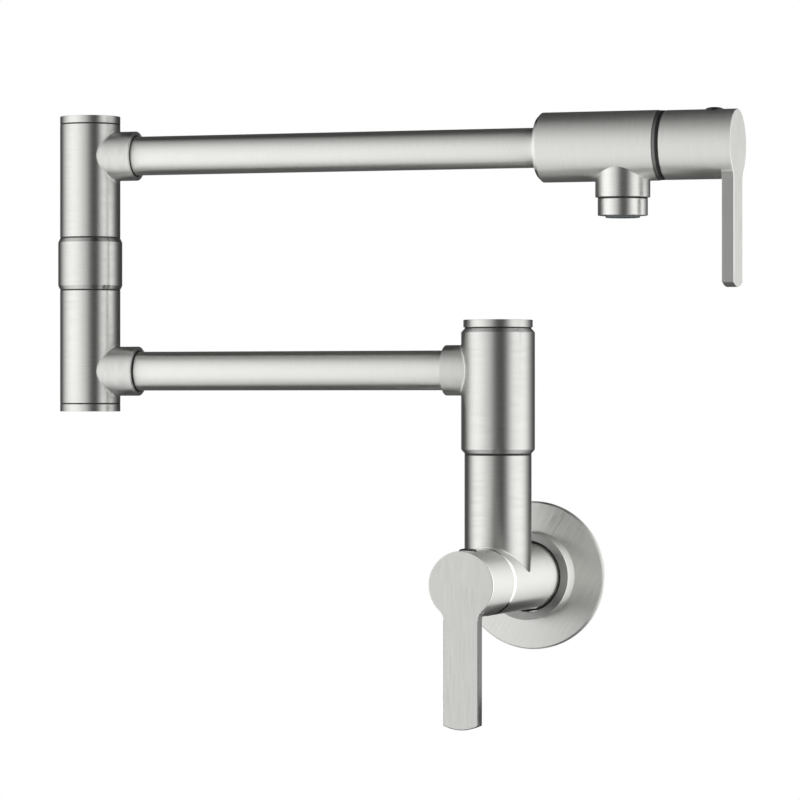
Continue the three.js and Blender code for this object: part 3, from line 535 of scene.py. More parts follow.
# ---- Levers -----------------------------------------------------------------
# A lever plate's places: its face, then edges and lines whose lighter and darker steels are painted light
# and painted shade.
LEVER_FACE, PAINTED_LIGHT_EDGE, PADDLE_SIDE, PADDLE_EDGE, PAINTED_SHADE_LINE, PAINTED_HIGHLIGHT_LINE = range(6)
PADDLE_FROM = 0.82               # below this share of its radius, the hub's outline is the paddle's
STRAIGHT_FROM = 0.75             # below this share the brushing runs along the paddle


def lever_outline(hub_radius, tip):
    """The keyhole outline of hub and paddle, which hangs towards -Y."""
    size = sizes()
    blend_x = size.paddle_width + size.paddle_blend
    blend_y = -math.sqrt((hub_radius + size.paddle_blend) ** 2 - blend_x ** 2)
    meet = math.atan2(blend_y, blend_x)
    tip_centre = Vector((0, size.paddle_tip - tip))
    half = math.asin(size.paddle_width / size.paddle_tip)
    down = -math.pi / 2
    return [
        *arc(Vector((0, 0)), hub_radius, meet, math.pi - meet, ROUND_STEPS)[1:-1],
        *arc(Vector((-blend_x, blend_y)), size.paddle_blend, -meet, 0, ARC_STEPS),
        *arc(tip_centre, size.paddle_tip, down - half, down + half, ARC_STEPS),
        *arc(Vector((blend_x, blend_y)), size.paddle_blend, math.pi, math.pi + meet, ARC_STEPS),
    ]


def lever_plate(hub_radius, tip, front):
    """The flat keyhole plate with rounded edges, brushed along its length."""
    size = sizes()
    bm = bmesh.new()
    back = front - size.paddle_thick
    face = bm.faces.new([bm.verts.new((p.x, p.y, back)) for p in lever_outline(hub_radius, tip)])
    moved = bmesh.ops.extrude_face_region(bm, geom=[face])["geom"]
    verts = [v for v in moved if isinstance(v, bmesh.types.BMVert)]
    bmesh.ops.translate(bm, verts=verts, vec=(0, 0, size.paddle_thick))
    bmesh.ops.remove_doubles(bm, verts=bm.verts, dist=SAME_PLACE)
    bmesh.ops.recalc_face_normals(bm, faces=bm.faces)
    rims = [e for e in bm.edges if abs(e.verts[0].co.z - e.verts[1].co.z) < SAME_PLACE]
    bmesh.ops.bevel(
        bm, geom=rims, offset=size.lever_edge, segments=EDGE_STEPS, profile=0.5, affect="EDGES", material=-1
    )
    low = -hub_radius * STRAIGHT_FROM
    return lay_grain(bm, flat=Vector((0, 1, 0)), straight=lambda place: place.y < low)


def lever_hub(radius, front):
    """The hollow hub, tucked under the plate at its top and chamfered at its open end."""
    size = sizes()
    tucked = front - size.paddle_thick + size.lever_edge
    inner = radius - size.hub_wall
    roof = front - LEVER_ROOF_DROP
    wall = [(radius, tucked), (radius, size.hub_chamfer), (radius - size.hub_chamfer, 0), (inner, 0)]
    return lay_grain(turned([
        (0, roof), (radius - SEAM_STEP, roof), (radius - SEAM_STEP, tucked), (radius, tucked),
        *soften(wall, size.edge)[1:],
        (inner, roof - LEVER_ROOF_THICK), (0, roof - LEVER_ROOF_THICK),
    ]))


def wall_lever_region(normal, middle, hub_radius):
    """Which finish a face of the wall lever's plate wears. Its hub ends at its right in a painted shade
    line and a painted highlight line; its paddle's sides and edges are painted shade, save at its left.
    """
    if normal.z > 0.98:
        return LEVER_FACE
    if middle.y > -hub_radius * PADDLE_FROM:
        if normal.x < 0.2 or normal.z < 0.3:
            return PAINTED_LIGHT_EDGE
        return PAINTED_SHADE_LINE if normal.z > 0.8 else PAINTED_HIGHLIGHT_LINE
    if normal.x < -0.3:
        return PAINTED_LIGHT_EDGE
    return PADDLE_EDGE if normal.z > 0.3 else PADDLE_SIDE


def spout_lever_region(normal, middle, hub_radius):
    """Which finish a face of the spout lever's plate wears. Its tip is painted light underneath, and its
    paddle's sides are painted shade.
    """
    if normal.z > 0.98:
        return LEVER_FACE
    if middle.y > -hub_radius * PADDLE_FROM or normal.y < -0.6:
        return PAINTED_LIGHT_EDGE
    return PADDLE_EDGE if normal.z > 0.3 else PADDLE_SIDE


def plug(node):
    """The black plug on a lever's top: a low dome with a soft rim. Its CAD box gives its size."""
    low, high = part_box(node)
    radius = (high.x - low.x) / 2
    height = high.z - low.z
    shoulder = height - PLUG_DOME
    angles = [math.pi / 2 * i / DOME_STEPS for i in range(DOME_STEPS + 1)]
    dome = [(radius * math.cos(a), shoulder + PLUG_DOME * math.sin(a)) for a in angles]
    dome[-1] = (0, height)
    bm = lay_grain(turned([(0, 0), (radius, 0), *dome], SMALL_STEPS))
    return [(bm, upright(node, low.z))]


# ---- Materials --------------------------------------------------------------
def add(tree, kind, sockets=None, **settings):
    """Adds a node: settings are its own options, sockets maps an input to a value or to an output."""
    node = tree.nodes.new(kind)
    for key, value in settings.items():
        setattr(node, key, value)
    for key, value in (sockets or {}).items():
        if isinstance(value, bpy.types.NodeSocket):
            tree.links.new(value, node.inputs[key])
        else:
            node.inputs[key].default_value = value
    return node


def blank(name):
    material = bpy.data.materials.new(name)
    material.use_nodes = True
    material.node_tree.nodes.clear()
    return material


def blank_finish(slot):
    return blank(f"{slot}_finish").node_tree


def finish_with(tree, shader):
    add(tree, "ShaderNodeOutputMaterial", {"Surface": shader.outputs[0]})


def tinted(tree, value, tone, low, high):
    """The tone, darker where value is low and lighter where it is high."""
    gain = add(tree, "ShaderNodeMapRange", {"Value": value, "To Min": low, "To Max": high})
    return add(
        tree, "ShaderNodeVectorMath", {0: tuple(tone), "Scale": gain.outputs[0]}, operation="SCALE"
    ).outputs[0]


def brush_lines(tree, place, along, across):
    """Noise drawn out along the grain: periods per metre along it and across it."""
    stretched = add(tree, "ShaderNodeMapping", {"Vector": place, "Scale": (along, across, 1)})
    return add(
        tree, "ShaderNodeTexNoise",
        {"Vector": stretched.outputs[0], "Scale": 1.0, "Detail": 1.0, "Roughness": 0.6},
        noise_dimensions="2D",
    ).outputs[0]


def brushed_metal(slot, tone, roughness, brushing, depth):
    """Satin metal with fine brush lines: the lines break the reflections up along the grain, and the
    stretched highlight gives round pieces their crisp lengthwise bands."""
    tree = blank_finish(slot)
    place = add(tree, "ShaderNodeUVMap", uv_map=GRAIN).outputs[0]
    hair = brush_lines(tree, place, 75, 1500)
    streak = brush_lines(tree, place, 40, 700)
    both = add(tree, "ShaderNodeMath", {0: hair, 1: streak}, operation="ADD").outputs[0]
    worn = add(tree, "ShaderNodeMath", {0: both, 1: 0.5}, operation="MULTIPLY").outputs[0]
    rough = add(tree, "ShaderNodeMapRange", {
        "Value": worn, "From Min": 0.3, "From Max": 0.7,
        "To Min": roughness * (1 - 0.15 * depth), "To Max": roughness * (1 + 0.15 * depth),
    })
    bump = add(tree, "ShaderNodeBump", {"Height": hair, "Strength": depth * 0.05, "Distance": 0.01 * MM})
    tangent = add(tree, "ShaderNodeTangent", direction_type="UV_MAP", uv_map=GRAIN)
    shader = add(tree, "ShaderNodeBsdfPrincipled", {
        "Base Color": tinted(tree, worn, tone, 1 - 0.18 * depth, 1 + 0.12 * depth),
        "Metallic": 1.0, "Roughness": rough.outputs[0], "Anisotropic": brushing,
        "Anisotropic Rotation": 0.25, "Normal": bump.outputs[0], "Tangent": tangent.outputs[0],
    })
    finish_with(tree, shader)


def turned_metal(slot, tone, roughness):
    """Lathe turned or plain metal: fine even mottling keeps its shine from looking like plastic."""
    tree = blank_finish(slot)
    place = add(tree, "ShaderNodeTexCoord").outputs["Object"]
    noise = add(tree, "ShaderNodeTexNoise", {"Vector": place, "Scale": 900.0, "Detail": 3.0})
    rough = add(tree, "ShaderNodeMapRange", {
        "Value": noise.outputs[0], "To Min": roughness * 0.8, "To Max": roughness * 1.2,
    })
    shader = add(tree, "ShaderNodeBsdfPrincipled", {
        "Base Color": tinted(tree, noise.outputs[0], tone, 0.9, 1.05),
        "Metallic": 1.0, "Roughness": rough.outputs[0],
    })
    finish_with(tree, shader)


def moulded(slot, tone, roughness, grain):
    """Rubber or plastic: a soft, slightly uneven sheen from a fine moulded grain."""
    tree = blank_finish(slot)
    place = add(tree, "ShaderNodeTexCoord").outputs["Object"]
    noise = add(tree, "ShaderNodeTexNoise", {"Vector": place, "Scale": grain, "Detail": 4.0})
    rough = add(tree, "ShaderNodeMapRange", {
        "Value": noise.outputs[0], "To Min": roughness * 0.85, "To Max": roughness * 1.15,
    })
    bump = add(tree, "ShaderNodeBump", {"Height": noise.outputs[0], "Strength": 0.2, "Distance": 0.02 * MM})
    shader = add(tree, "ShaderNodeBsdfPrincipled", {
        "Base Color": tinted(tree, noise.outputs[0], tone, 0.85, 1.1),
        "Roughness": rough.outputs[0], "Normal": bump.outputs[0],
    })
    finish_with(tree, shader)


# ---- Operators --------------------------------------------------------------
class POTFILLER_OT_materials(bpy.types.Operator):
    """Make the materials and give them to the frame's own pieces"""

    bl_idname = "potfiller.materials"
    bl_label = "Materials"

    def execute(self, context):
        look = looks()
        self.steels(look)
        # Screws and washers: dull grey, without brush lines.
        turned_metal("plain_steel", look.plain, 0.35)
        # Nuts, stems and the inlet: a warm yellow beside all the grey.
        turned_metal("turned_brass", look.brass, 0.3)
        # Seals, and the black rings in seams and mouths that are painted shade: black lines that hardly
        # reflect.
        moulded("black_rubber", look.rubber, 0.6, 2500.0)
        # Plugs on the levers: black dots with a small highlight.
        moulded("black_plastic", look.plug, 0.3, 4000.0)
        # Cartridges: a warm, dull white.
        moulded("white_acetal", look.acetal, 0.45, 1500.0)
        # Outlet insert: a blue grey face inside the outlet's bright rim.
        moulded("grey_plastic", look.insert, 0.4, 2000.0)
        slots = {row["node"]: row["material_slot"] for row in frame["record"]["subparts"]}
        for node, shown in frame["nodes"].items():
            for slot in shown.material_slots:
                slot.material = finish_of(slots[node])
        return {"FINISHED"}

    def steels(self, look):
        satin = (look.roughness, look.brushing, look.grain_depth)
        # Columns and the spout paddle's face: mid grey, fine lines, soft light bands down both sides.
        brushed_metal("brushed_steel", look.steel, *satin)
        # Wall paddle's face, sockets, neck and outlet: a step lighter than the columns beside them, a tone
        # that is painted light.
        brushed_metal("painted_light_steel", look.satin, *satin)
        # Knuckle chamfers: a step darker than the sleeve, a tone that is painted shade on its ends.
        brushed_metal("painted_shade_rim_steel", look.rim, *satin)
        # Boss front and the spout paddle's side: darker again, a tone that is painted shade.
        brushed_metal("painted_shade_mid_steel", look.mid_shade, *satin)
        # Wall paddle's sides, the spout's shadowed chamfer and its lever's ring: the darkest steel, a tone
        # that is painted shade.
        brushed_metal("shaded_steel", look.shade, *satin)
        # Arms, barrels and lever hubs: a nearly white tone that is painted light, with hardly any lines.
        brushed_metal("fine_painted_light_steel", look.fine, look.roughness, look.brushing, look.fine_grain_depth)
        # Flange plate: straight brushing with a broad, soft shine.
        brushed_metal(
            "plate_steel", look.steel, look.plate_roughness, look.plate_brushing, look.grain_depth
        )
        # Collar chamfers: a tight shine, light and dark by turns round the collar, on a darker tone that is
        # painted shade.
        brushed_metal(
            "chamfer_steel", look.mid_shade, look.chamfer_roughness, look.cut_brushing, look.grain_depth
        )
        # Edges beside the wall lever: thin bright glints from a tight shine on a nearly white tone that is
        # painted light.
        brushed_metal("glint_painted_light_steel", look.fine, look.cut_roughness, look.cut_brushing, look.fine_grain_depth)


class POTFILLER_OT_flange(bpy.types.Operator):
    """Build the wall flange with its raised boss"""

    bl_idname = "potfiller.flange"
    bl_label = "Wall flange"

    def execute(self, context):
        low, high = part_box("wall_flange")
        radius, front = high.x, -low.y
        bm = lay_grain(turned(flange_profile(radius, front)), flat=FLANGE_GRAIN)
        dress(bm, lambda normal, middle: flange_region(normal, middle, radius, front))
        steel_piece("flange_skin", [(bm, out_of_wall(), *FLANGE_FINISHES)], "wall_side", "wall_flange")
        return {"FINISHED"}


class POTFILLER_OT_valve_body(bpy.types.Operator):
    """Build the barrel and riser that cross as a mitred tee"""

    bl_idname = "potfiller.valve_body"
    bl_label = "Valve body"

    def execute(self, context):
        low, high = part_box("valve_body")
        radius = high.x
        floor = high.z - RISER_DEPTH
        barrel = dress(lathed(self.barrel(radius, -high.y, -low.y), sizes().edge), on_chamfers)
        riser = lay_grain(skin([riser_row(radius, high.z, angle) for angle in round_angles()]))
        # Faces that look up at the mitre wear the nearly white steel: a painted highlight along the fillet.
        dress(riser, lambda normal, middle: int(normal.z > 0.2 and middle.z < floor))
        parts = [
            # The barrel wears the nearly white steel, painted light, and its chamfer a painted highlight
            # line.
            (barrel, out_of_wall(), "fine_painted_light_steel", "glint_painted_light_steel"),
            (riser, upright("riser_spindle"), "brushed_steel", "fine_painted_light_steel"),
        ]
        steel_piece("valve_body_skin", parts, "wall_side", "valve_body")
        return {"FINISHED"}

    def barrel(self, radius, back, front):
        bore, chamfer = radius - BODY_WALL, sizes().barrel_chamfer
        return [
            (bore, back), (radius, back), (radius, front - chamfer), (radius - chamfer, front),
            (bore, front),
        ]


class POTFILLER_OT_levers(bpy.types.Operator):
    """Build both levers and their black plugs"""

    bl_idname = "potfiller.levers"
    bl_label = "Levers"

    def execute(self, context):
        low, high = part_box("wall_lever")
        # On both levers the lighter steels of edges and lines are painted light, the darker ones painted
        # shade.
        finishes = (
            "painted_light_steel", "fine_painted_light_steel", "shaded_steel", "shaded_steel", "painted_shade_mid_steel", "glint_painted_light_steel",
        )
        wall = (high.x, high.y - low.y, -low.z)
        self.lever("wall", out_of_wall(high.y), wall, wall_lever_region, finishes)
        low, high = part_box("spout_lever")
        stem = centre_of("spout_cartridge_stem")
        finishes = ("brushed_steel", "fine_painted_light_steel", "painted_shade_mid_steel", "fine_painted_light_steel")
        spout = (high.z - stem.z, high.x - low.x, stem.z - low.z)
        self.lever("spout", to_the_right(low.x, stem.y, stem.z), spout, spout_lever_region, finishes)
        return {"FINISHED"}

    def lever(self, side, place, shape, region, finishes):
        """Shape is the hub's radius, the face's height over the hub's open end, and the tip's reach."""
        hub_radius, front, tip = shape
        body = f"{side}_handle"
        plate = lever_plate(hub_radius, tip, front)
        dress(plate, lambda normal, middle: region(normal, middle, hub_radius))
        # The lever hub wears the nearly white steel: painted light.
        parts = [(lever_hub(hub_radius, front), place, "fine_painted_light_steel"), (plate, place, *finishes)]
        steel_piece(f"{side}_lever_skin", parts, body, f"{side}_lever")
        node = f"{side}_lever_plug"
        assemble(f"{node}_skin", plug(node), body, [node], "black_plastic")


class POTFILLER_OT_knuckle(bpy.types.Operator):
    """Build the knuckle sleeve, its socket and its cap"""

    bl_idname = "potfiller.knuckle"
    bl_label = "Knuckle"

    def execute(self, context):
        size = sizes()
        low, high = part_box("knuckle_sleeve")
        axis = centre_of("riser_spindle")
        radius, reach = high.x, axis.x - low.x
        sleeve = chamfered_pipe(
            radius - KNUCKLE_WALL, radius, low.z, high.z, size.knuckle_chamfer, size.knuckle_chamfer_height
        )
        along_arm = to_the_left(axis.x, axis.y, centre_of("lower_arm_tube").z)
        parts = [
            # The knuckle's chamfers wear the darker rim steel: painted shade.
            (dress(lathed(sleeve, size.edge), on_chamfers), upright("riser_spindle"),
             "brushed_steel", "painted_shade_rim_steel"),
            # The socket wears the lighter steel: painted light.
            (socket(radius, reach), along_arm, "painted_light_steel"),
        ]
        steel_piece("knuckle_skin", parts, "lower_arm", "knuckle_sleeve")
        # A black ring in the mouth: painted shade.
        seal = [(mouth_shadow_ring(reach, size.mouth_shadow_ring), along_arm)]
        assemble("knuckle_mouth_shadow_ring", seal, "lower_arm", (), "black_rubber")
        cap_piece("knuckle_cap", "lower_arm", 1)
        return {"FINISHED"}


def cap_piece(node, body, up):
    """A cap: a disc with a soft rim, and a skirt inside the bore that it closes."""
    low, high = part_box(node)
    radius = half_width(node)
    skirt = radius - CAP_RIM_WIDTH
    lining = skirt - CAP_SKIRT_WALL
    face, end = (high.z, low.z) if up > 0 else (low.z, high.z)
    under = face - up * CAP_RIM
    profile = soften([(0, face), (radius, face), (radius, under), (skirt, under)], sizes().edge)
    profile += [(skirt, end), (lining, end), (lining, under), (0, under)]
    steel_piece(f"{node}_skin", [(lay_grain(turned(profile)), upright(node))], body, node)


class POTFILLER_OT_elbow(bpy.types.Operator):
    """Build both elbow hubs with their sockets, their caps and the collar between them"""

    bl_idname = "potfiller.elbow"
    bl_label = "Elbow"

    def execute(self, context):
        size = sizes()
        self.hub("lower", size.lower_mouth_shadow_ring)
        self.hub("upper", size.mouth_shadow_ring)
        cap_piece("lower_elbow_cap", "lower_arm", -1)
        cap_piece("upper_elbow_cap", "upper_arm", 1)
        low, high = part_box("elbow_collar")
        radius = half_width("elbow_collar")
        collar = chamfered_pipe(
            radius - COLLAR_WALL, radius, low.z, high.z, size.collar_chamfer, size.collar_chamfer_height
        )
        bm = dress(lathed(collar, size.edge), on_chamfers)
        # The collar's chamfers wear a darker tone: painted shade.
        parts = [(bm, upright("elbow_collar"), "brushed_steel", "chamfer_steel")]
        steel_piece("elbow_collar_skin", parts, "lower_arm", "elbow_collar")
        return {"FINISHED"}

    def hub(self, level, proud):
        size = sizes()
        node = f"{level}_elbow_hub"
        body = f"{level}_arm"
        low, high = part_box(node)
        radius = half_width(node, "y")
        axis = centre_of("elbow_collar")
        reach = high.x - axis.x
        hub = pipe(radius - ELBOW_WALL, radius, low.z + size.hub_gap, high.z - size.hub_gap)
        along_arm = to_the_right(axis.x, axis.y, centre_of(f"{level}_arm_tube").z)
        parts = [
            (lathed(hub, size.edge), upright("elbow_collar")),
            # The socket wears the lighter steel: painted light.
            (socket(radius, reach), along_arm, "painted_light_steel"),
        ]
        steel_piece(f"{node}_skin", parts, body, node)
        # A black ring in the mouth: painted shade.
        seal = [(mouth_shadow_ring(reach, proud), along_arm)]
        assemble(f"{level}_elbow_mouth_seal", seal, body, (), "black_rubber")


class POTFILLER_OT_tubes(bpy.types.Operator):
    """Build both arm tubes"""

    bl_idname = "potfiller.tubes"
    bl_label = "Arm tubes"

    def execute(self, context):
        size = sizes()
        for level in ("lower", "upper"):
            node = f"{level}_arm_tube"
            low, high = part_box(node)
            centre = centre_of(node)
            wall = pipe(size.tube_radius - size.tube_wall, size.tube_radius, 0, high.x - low.x)
            place = to_the_right(low.x, centre.y, centre.z)
            # Each tube wears the nearly white steel: painted light.
            steel_piece(
                f"{node}_skin", [(lay_grain(turned(wall)), place, "fine_painted_light_steel")], f"{level}_arm", node
            )
        return {"FINISHED"}


class POTFILLER_OT_spout(bpy.types.Operator):
    """Build the spout body with its neck, and the ring at its lever"""

    bl_idname = "potfiller.spout"
    bl_label = "Spout"

    def execute(self, context):
        low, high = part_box("spout_body")
        axis = centre_of("upper_arm_tube")
        outlet = centre_of("aerator_shell")
        radius = half_width("spout_body", "y")
        drop = axis.z - low.z - sizes().outlet_gap
        barrel = dress(lathed(self.barrel(radius, high.x - low.x), sizes().edge), self.dark_chamfer)
        neck = lay_grain(skin([neck_row(radius, drop, angle) for angle in round_angles()]))
        parts = [
            # The barrel wears the nearly white steel, painted light, with painted shade on its back
            # chamfer; the neck the lighter steel, painted light.
            (barrel, to_the_right(low.x, axis.y, axis.z), "fine_painted_light_steel", "shaded_steel"),
            (neck, downward(outlet.x, outlet.y, axis.z), "painted_light_steel"),
        ]
        steel_piece("spout_body_skin", parts, "upper_arm", "spout_body")
        self.seam_ring(axis)
        return {"FINISHED"}

    def barrel(self, radius, span):
        size = sizes()
        bore = size.tube_radius + SPOUT_SLIP
        chamber = radius - SPOUT_WALL
        return [
            (bore, SPOUT_BORE_DEPTH), (bore, 0), (radius - size.spout_chamfer, 0),
            (radius, size.spout_chamfer), (radius, span), (chamber, span), (chamber, span - CHAMBER_DEPTH),
        ]

    def dark_chamfer(self, normal, middle):
        """The chamfer at the back wears painted shade above and below."""
        return int(on_chamfers(normal, middle) and abs(normal.y) > 0.5)

    def seam_ring(self, axis):
        low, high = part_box("spout_seam_ring")
        radius = half_width("spout_seam_ring", "z")
        ring = pipe(radius - RING_WIDTH, radius, 0, high.x - low.x)
        parts = [(lathed(ring, RING_SOFT), to_the_right(low.x, axis.y, axis.z))]
        # The ring wears the darkest steel: painted shade.
        assemble("spout_seam_ring_skin", parts, "upper_arm", ["spout_seam_ring"], "shaded_steel")


class POTFILLER_OT_outlet(bpy.types.Operator):
    """Build the outlet's housing"""

    bl_idname = "potfiller.outlet"
    bl_label = "Outlet housing"

    def execute(self, context):
        size = sizes()
        node = "aerator_shell"
        radius, low, high = half_width(node), bottom(node), top(node)
        shoulder, lip = low + SHELL_RIM, low + SHELL_LIP
        profile = [
            (size.shell_lip, lip), (size.shell_lip, low), (radius, low), (radius, shoulder),
            (size.shell_thread, shoulder), (size.shell_thread, high), (size.shell_bore, high),
            (size.shell_bore, lip),
        ]
        # The housing wears the lighter steel: painted light.
        parts = [(lathed(profile, SHELL_SOFT), upright(node), "painted_light_steel")]
        steel_piece("outlet_shell_skin", parts, "upper_arm", node)
        return {"FINISHED"}


class POTFILLER_OT_seam_shadows(bpy.types.Operator):
    """Build black rings in the seams between the bodies and their caps, collar, rings and levers: painted
    shade in the gaps
    """

    bl_idname = "potfiller.seams"
    bl_label = "Seams"

    def execute(self, context):
        self.elbow_seams()
        self.column_seams()
        self.lever_seams()
        return {"FINISHED"}

    def elbow_seams(self):
        place = upright("elbow_collar")
        radius = half_width("lower_elbow_cap")
        gap = sizes().hub_gap
        under_hub, over_hub = bottom("lower_elbow_hub") + gap, top("lower_elbow_hub") - gap
        cap_end = bottom("lower_elbow_cap") + CAP_RIM
        self.ring("lower_cap_seam", place, radius, cap_end, under_hub, "lower_arm")
        self.ring("lower_collar_seam", place, radius, over_hub, bottom("elbow_collar"), "lower_arm")
        under_hub, over_hub = bottom("upper_elbow_hub") + gap, top("upper_elbow_hub") - gap
        self.ring("upper_collar_seam", place, radius, top("elbow_collar"), under_hub, "upper_arm")
        self.ring("upper_cap_seam", place, radius, over_hub, top("upper_elbow_cap") - CAP_RIM, "upper_arm")

    def column_seams(self):
        size = sizes()
        place = upright("riser_spindle")
        seal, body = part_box("knuckle_cap_seal")[1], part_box("valve_body")[1]
        sleeve = "knuckle_sleeve"
        cap_end, riser_end = top("knuckle_cap") - CAP_RIM, body.z - size.riser_gap
        self.ring("knuckle_cap_seam", place, seal.x + size.edge, top(sleeve), cap_end, "lower_arm")
        self.ring("riser_seam", place, body.x, riser_end, bottom(sleeve), "wall_side")
        shell = "aerator_shell"
        low, high = bottom(shell) + SHELL_RIM, bottom("spout_body") + size.outlet_gap
        self.ring("outlet_seam", upright(shell), half_width(shell), low, high, "upper_arm")

    def lever_seams(self):
        body_low, body_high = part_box("valve_body")
        root = body_high.x - sizes().barrel_chamfer
        lever_back = -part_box("wall_lever")[1].y
        self.ring("wall_lever_seam", out_of_wall(), root, -body_low.y, lever_back, "wall_side")
        axis = centre_of("spout_seam_ring")
        place = to_the_right(0, axis.y, axis.z)
        radius = half_width("spout_seam_ring", "z")
        ring_low, ring_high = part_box("spout_seam_ring")
        self.ring("spout_ring_seam", place, radius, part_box("spout_body")[1].x, ring_low.x, "upper_arm")
        self.ring("spout_lever_seam", place, radius, ring_high.x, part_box("spout_lever")[0].x, "upper_arm")

    # A black ring in a seam: painted shade in the gap.
    def ring(self, name, place, radius, low, high, body):
        size = sizes()
        outer = radius - size.seam_depth
        floor = pipe(outer - SEAM_WIDTH, outer, low - size.seam_relief, high + size.seam_relief)
        assemble(name, [(turned(floor), place)], body, (), "black_rubber")


# ---- Studio -----------------------------------------------------------------
CAMERA_PLACE = (0.6333, -2.1702, 0.09716)
CAMERA_TURN = math.radians(18.19)
CAMERA_LENS = 179.23
CAMERA_SHIFT = 0.0046
CAMERA_SENSOR = 36.0
DOME_CENTRE = (0, -0.07, 0.1)
DOME_RADIUS = 0.96
CARD_CORNERS = (
    (0.008, -0.135, -0.0897), (0.063, -0.135, -0.065), (0.063, -0.015, -0.065), (0.008, -0.015, -0.0897),
)

# How bright the studio is round the horizon, by angle to the right of the camera, and by height.
STUDIO_ROUND = (
    (-180, 0.1), (-165, 0.14), (-150, 0.15), (-140, 0.08), (-130, 0.1), (-120, 0.34), (-110, 0.89),
    (-100, 1.37), (-85, 1.81), (-70, 1.87), (-55, 1.65), (-45, 1.42), (-35, 1.17), (-25, 0.95), (-15, 0.51),
    (-5, 0.2), (5, 0.17), (15, 0.14), (22, 0.22), (30, 0.52), (38, 0.99), (46, 1.42), (55, 1.7),
    (70, 1.86), (85, 1.84), (100, 1.55), (110, 1.12), (120, 0.65), (130, 0.31), (140, 0.17), (155, 0.07),
    (180, 0.1),
)
STUDIO_HEIGHT = (
    (-90, 0.09), (-75, 0.32), (-60, 0.54), (-45, 0.74), (-30, 0.9), (-15, 0.98), (0, 1.0), (15, 0.95),
    (30, 0.83), (45, 0.6), (60, 0.34), (75, 0.13), (90, 0.0),
)


def ramp(tree, value, stops, low, high):
    """A colour ramp through (angle, brightness) stops."""
    where = add(tree, "ShaderNodeMapRange", {"Value": value, "From Min": low, "From Max": high}).outputs[0]
    node = add(tree, "ShaderNodeValToRGB", {"Fac": where})
    elements = node.color_ramp.elements
    places = [(math.radians(angle) - low) / (high - low) for angle, _ in stops]
    elements[0].position, elements[-1].position = places[0], places[-1]
    for place in places[1:-1]:
        elements.new(place)
    for element, (_, bright) in zip(elements, stops):
        element.color = (bright, bright, bright, 1)
    return node.outputs[0]


def studio_glow():
    """Light whose strength depends on the direction from the dome's centre."""
    material = blank("studio_glow")
    material.cycles.emission_sampling = "NONE"
    tree = material.node_tree
    place = add(tree, "ShaderNodeTexCoord").outputs["Object"]
    arm = add(tree, "ShaderNodeVectorMath", {0: place, 1: DOME_CENTRE}, operation="SUBTRACT").outputs[0]
    ray = add(tree, "ShaderNodeVectorMath", {0: arm}, operation="NORMALIZE").outputs[0]
    facing = math.atan2(CAMERA_PLACE[0] - DOME_CENTRE[0], DOME_CENTRE[1] - CAMERA_PLACE[1])
    from_camera = add(
        tree, "ShaderNodeVectorRotate", {"Vector": ray, "Axis": (0, 0, 1), "Angle": -facing}
    ).outputs[0]
    axes = add(tree, "ShaderNodeSeparateXYZ", {0: from_camera}).outputs
    towards = add(tree, "ShaderNodeMath", {0: axes[1], 1: -1.0}, operation="MULTIPLY").outputs[0]
    around = add(tree, "ShaderNodeMath", {0: axes[0], 1: towards}, operation="ARCTAN2").outputs[0]
    height = add(tree, "ShaderNodeMath", {0: axes[2]}, operation="ARCSINE").outputs[0]
    bright = add(tree, "ShaderNodeMath", {
        0: ramp(tree, around, STUDIO_ROUND, -math.pi, math.pi),
        1: ramp(tree, height, STUDIO_HEIGHT, -math.pi / 2, math.pi / 2),
    }, operation="MULTIPLY").outputs[0]
    finish_with(tree, add(tree, "ShaderNodeEmission", {"Color": bright, "Strength": looks().studio}))
    return material


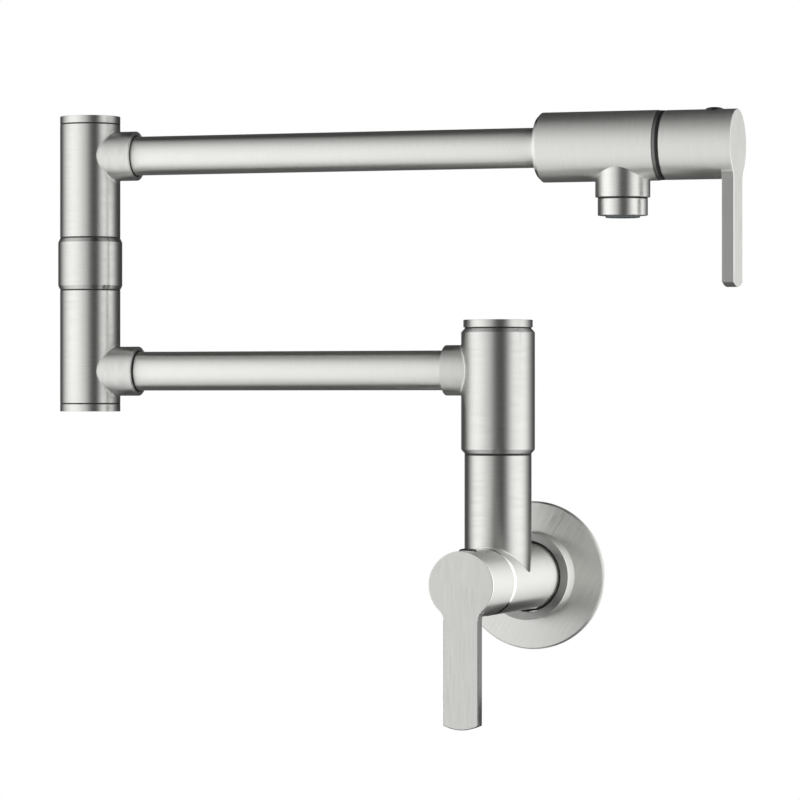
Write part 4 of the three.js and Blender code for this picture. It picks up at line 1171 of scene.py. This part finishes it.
class POTFILLER_OT_stage(bpy.types.Operator):
    """Set the camera and a plain soft studio light, with a white background for the camera alone"""

    bl_idname = "potfiller.stage"
    bl_label = "Stage"

    def execute(self, context):
        scene = context.scene
        scene.view_settings.view_transform = "Standard"
        self.camera(scene)
        self.background(scene)
        self.dome(scene)
        self.card(scene)
        return {"FINISHED"}

    def camera(self, scene):
        lens = bpy.data.cameras.new("photo_camera")
        lens.sensor_width = CAMERA_SENSOR
        lens.lens = CAMERA_LENS
        lens.shift_y = CAMERA_SHIFT
        lens.clip_start, lens.clip_end = 0.05, 20.0
        camera = bpy.data.objects.new("photo_camera", lens)
        camera.location = CAMERA_PLACE
        camera.rotation_euler = (math.pi / 2, 0, CAMERA_TURN)
        scene.collection.objects.link(camera)
        scene.camera = camera

    def background(self, scene):
        """White behind the tap. The dome hides it from all but the camera."""
        world = bpy.data.worlds.new("studio")
        scene.world = world
        world.use_nodes = True
        tree = world.node_tree
        tree.nodes.clear()
        white = add(tree, "ShaderNodeBackground", {"Color": (1, 1, 1, 1), "Strength": 1.0})
        add(tree, "ShaderNodeOutputWorld", {"Surface": white.outputs[0]})

    def dome(self, scene):
        """A glowing dome round the tap, which only reflections and soft light see. It stands at the
        distance of the real lights, so that their reflections shift along the arms as they should."""
        bm = bmesh.new()
        bmesh.ops.create_uvsphere(
            bm, u_segments=64, v_segments=32, radius=DOME_RADIUS, matrix=Matrix.Translation(DOME_CENTRE)
        )
        bmesh.ops.reverse_faces(bm, faces=bm.faces)
        mesh = bpy.data.meshes.new("studio_dome")
        bm.to_mesh(mesh)
        bm.free()
        self.unseen("studio_dome", mesh, studio_glow(), scene).visible_shadow = False

    def card(self, scene):
        """A black card beside the valve, which only reflections see. It darkens the barrel from below."""
        material = blank("black_card")
        tree = material.node_tree
        finish_with(tree, add(tree, "ShaderNodeBsdfDiffuse", {"Color": (0, 0, 0, 1)}))
        mesh = bpy.data.meshes.new("black_card")
        mesh.from_pydata(CARD_CORNERS, [], [(0, 1, 2, 3)])
        self.unseen("black_card", mesh, material, scene)

    def unseen(self, name, mesh, material, scene):
        """Puts a mesh on the stage that the camera doesn't see."""
        mesh.materials.append(material)
        prop = bpy.data.objects.new(name, mesh)
        prop.visible_camera = False
        scene.collection.objects.link(prop)
        return prop


class POTFILLER_PT_panel(bpy.types.Panel):
    """The pot filler's sizes, looks and build steps"""

    bl_idname = "POTFILLER_PT_panel"
    bl_label = "Pot Filler"
    bl_space_type = "VIEW_3D"
    bl_region_type = "UI"
    bl_category = "Pot Filler"

    def draw(self, context):
        for group in (sizes(), looks()):
            box = self.layout.box()
            for name in group.bl_rna.properties.keys():
                if name not in ("rna_type", "name"):
                    box.prop(group, name)
        for step in STEPS:
            self.layout.operator(step.bl_idname)


STEPS = (
    POTFILLER_OT_materials,
    POTFILLER_OT_flange,
    POTFILLER_OT_valve_body,
    POTFILLER_OT_levers,
    POTFILLER_OT_knuckle,
    POTFILLER_OT_elbow,
    POTFILLER_OT_tubes,
    POTFILLER_OT_spout,
    POTFILLER_OT_outlet,
    POTFILLER_OT_seam_shadows,
    POTFILLER_OT_stage,
)
CLASSES = (PotFillerSizes, PotFillerLooks, *STEPS, POTFILLER_PT_panel)


def register():
    for each in CLASSES:
        bpy.utils.register_class(each)
    bpy.types.Scene.pot_filler_sizes = bpy.props.PointerProperty(type=PotFillerSizes)
    bpy.types.Scene.pot_filler_looks = bpy.props.PointerProperty(type=PotFillerLooks)


def unregister():
    del bpy.types.Scene.pot_filler_looks
    del bpy.types.Scene.pot_filler_sizes
    for each in reversed(CLASSES):
        bpy.utils.unregister_class(each)


def main():
    register()
    for step in STEPS:
        group, action = step.bl_idname.split(".")
        if getattr(getattr(bpy.ops, group), action)() != {"FINISHED"}:
            raise RuntimeError(f"{step.bl_idname} did not finish")


if __name__ == "__main__":
    main()
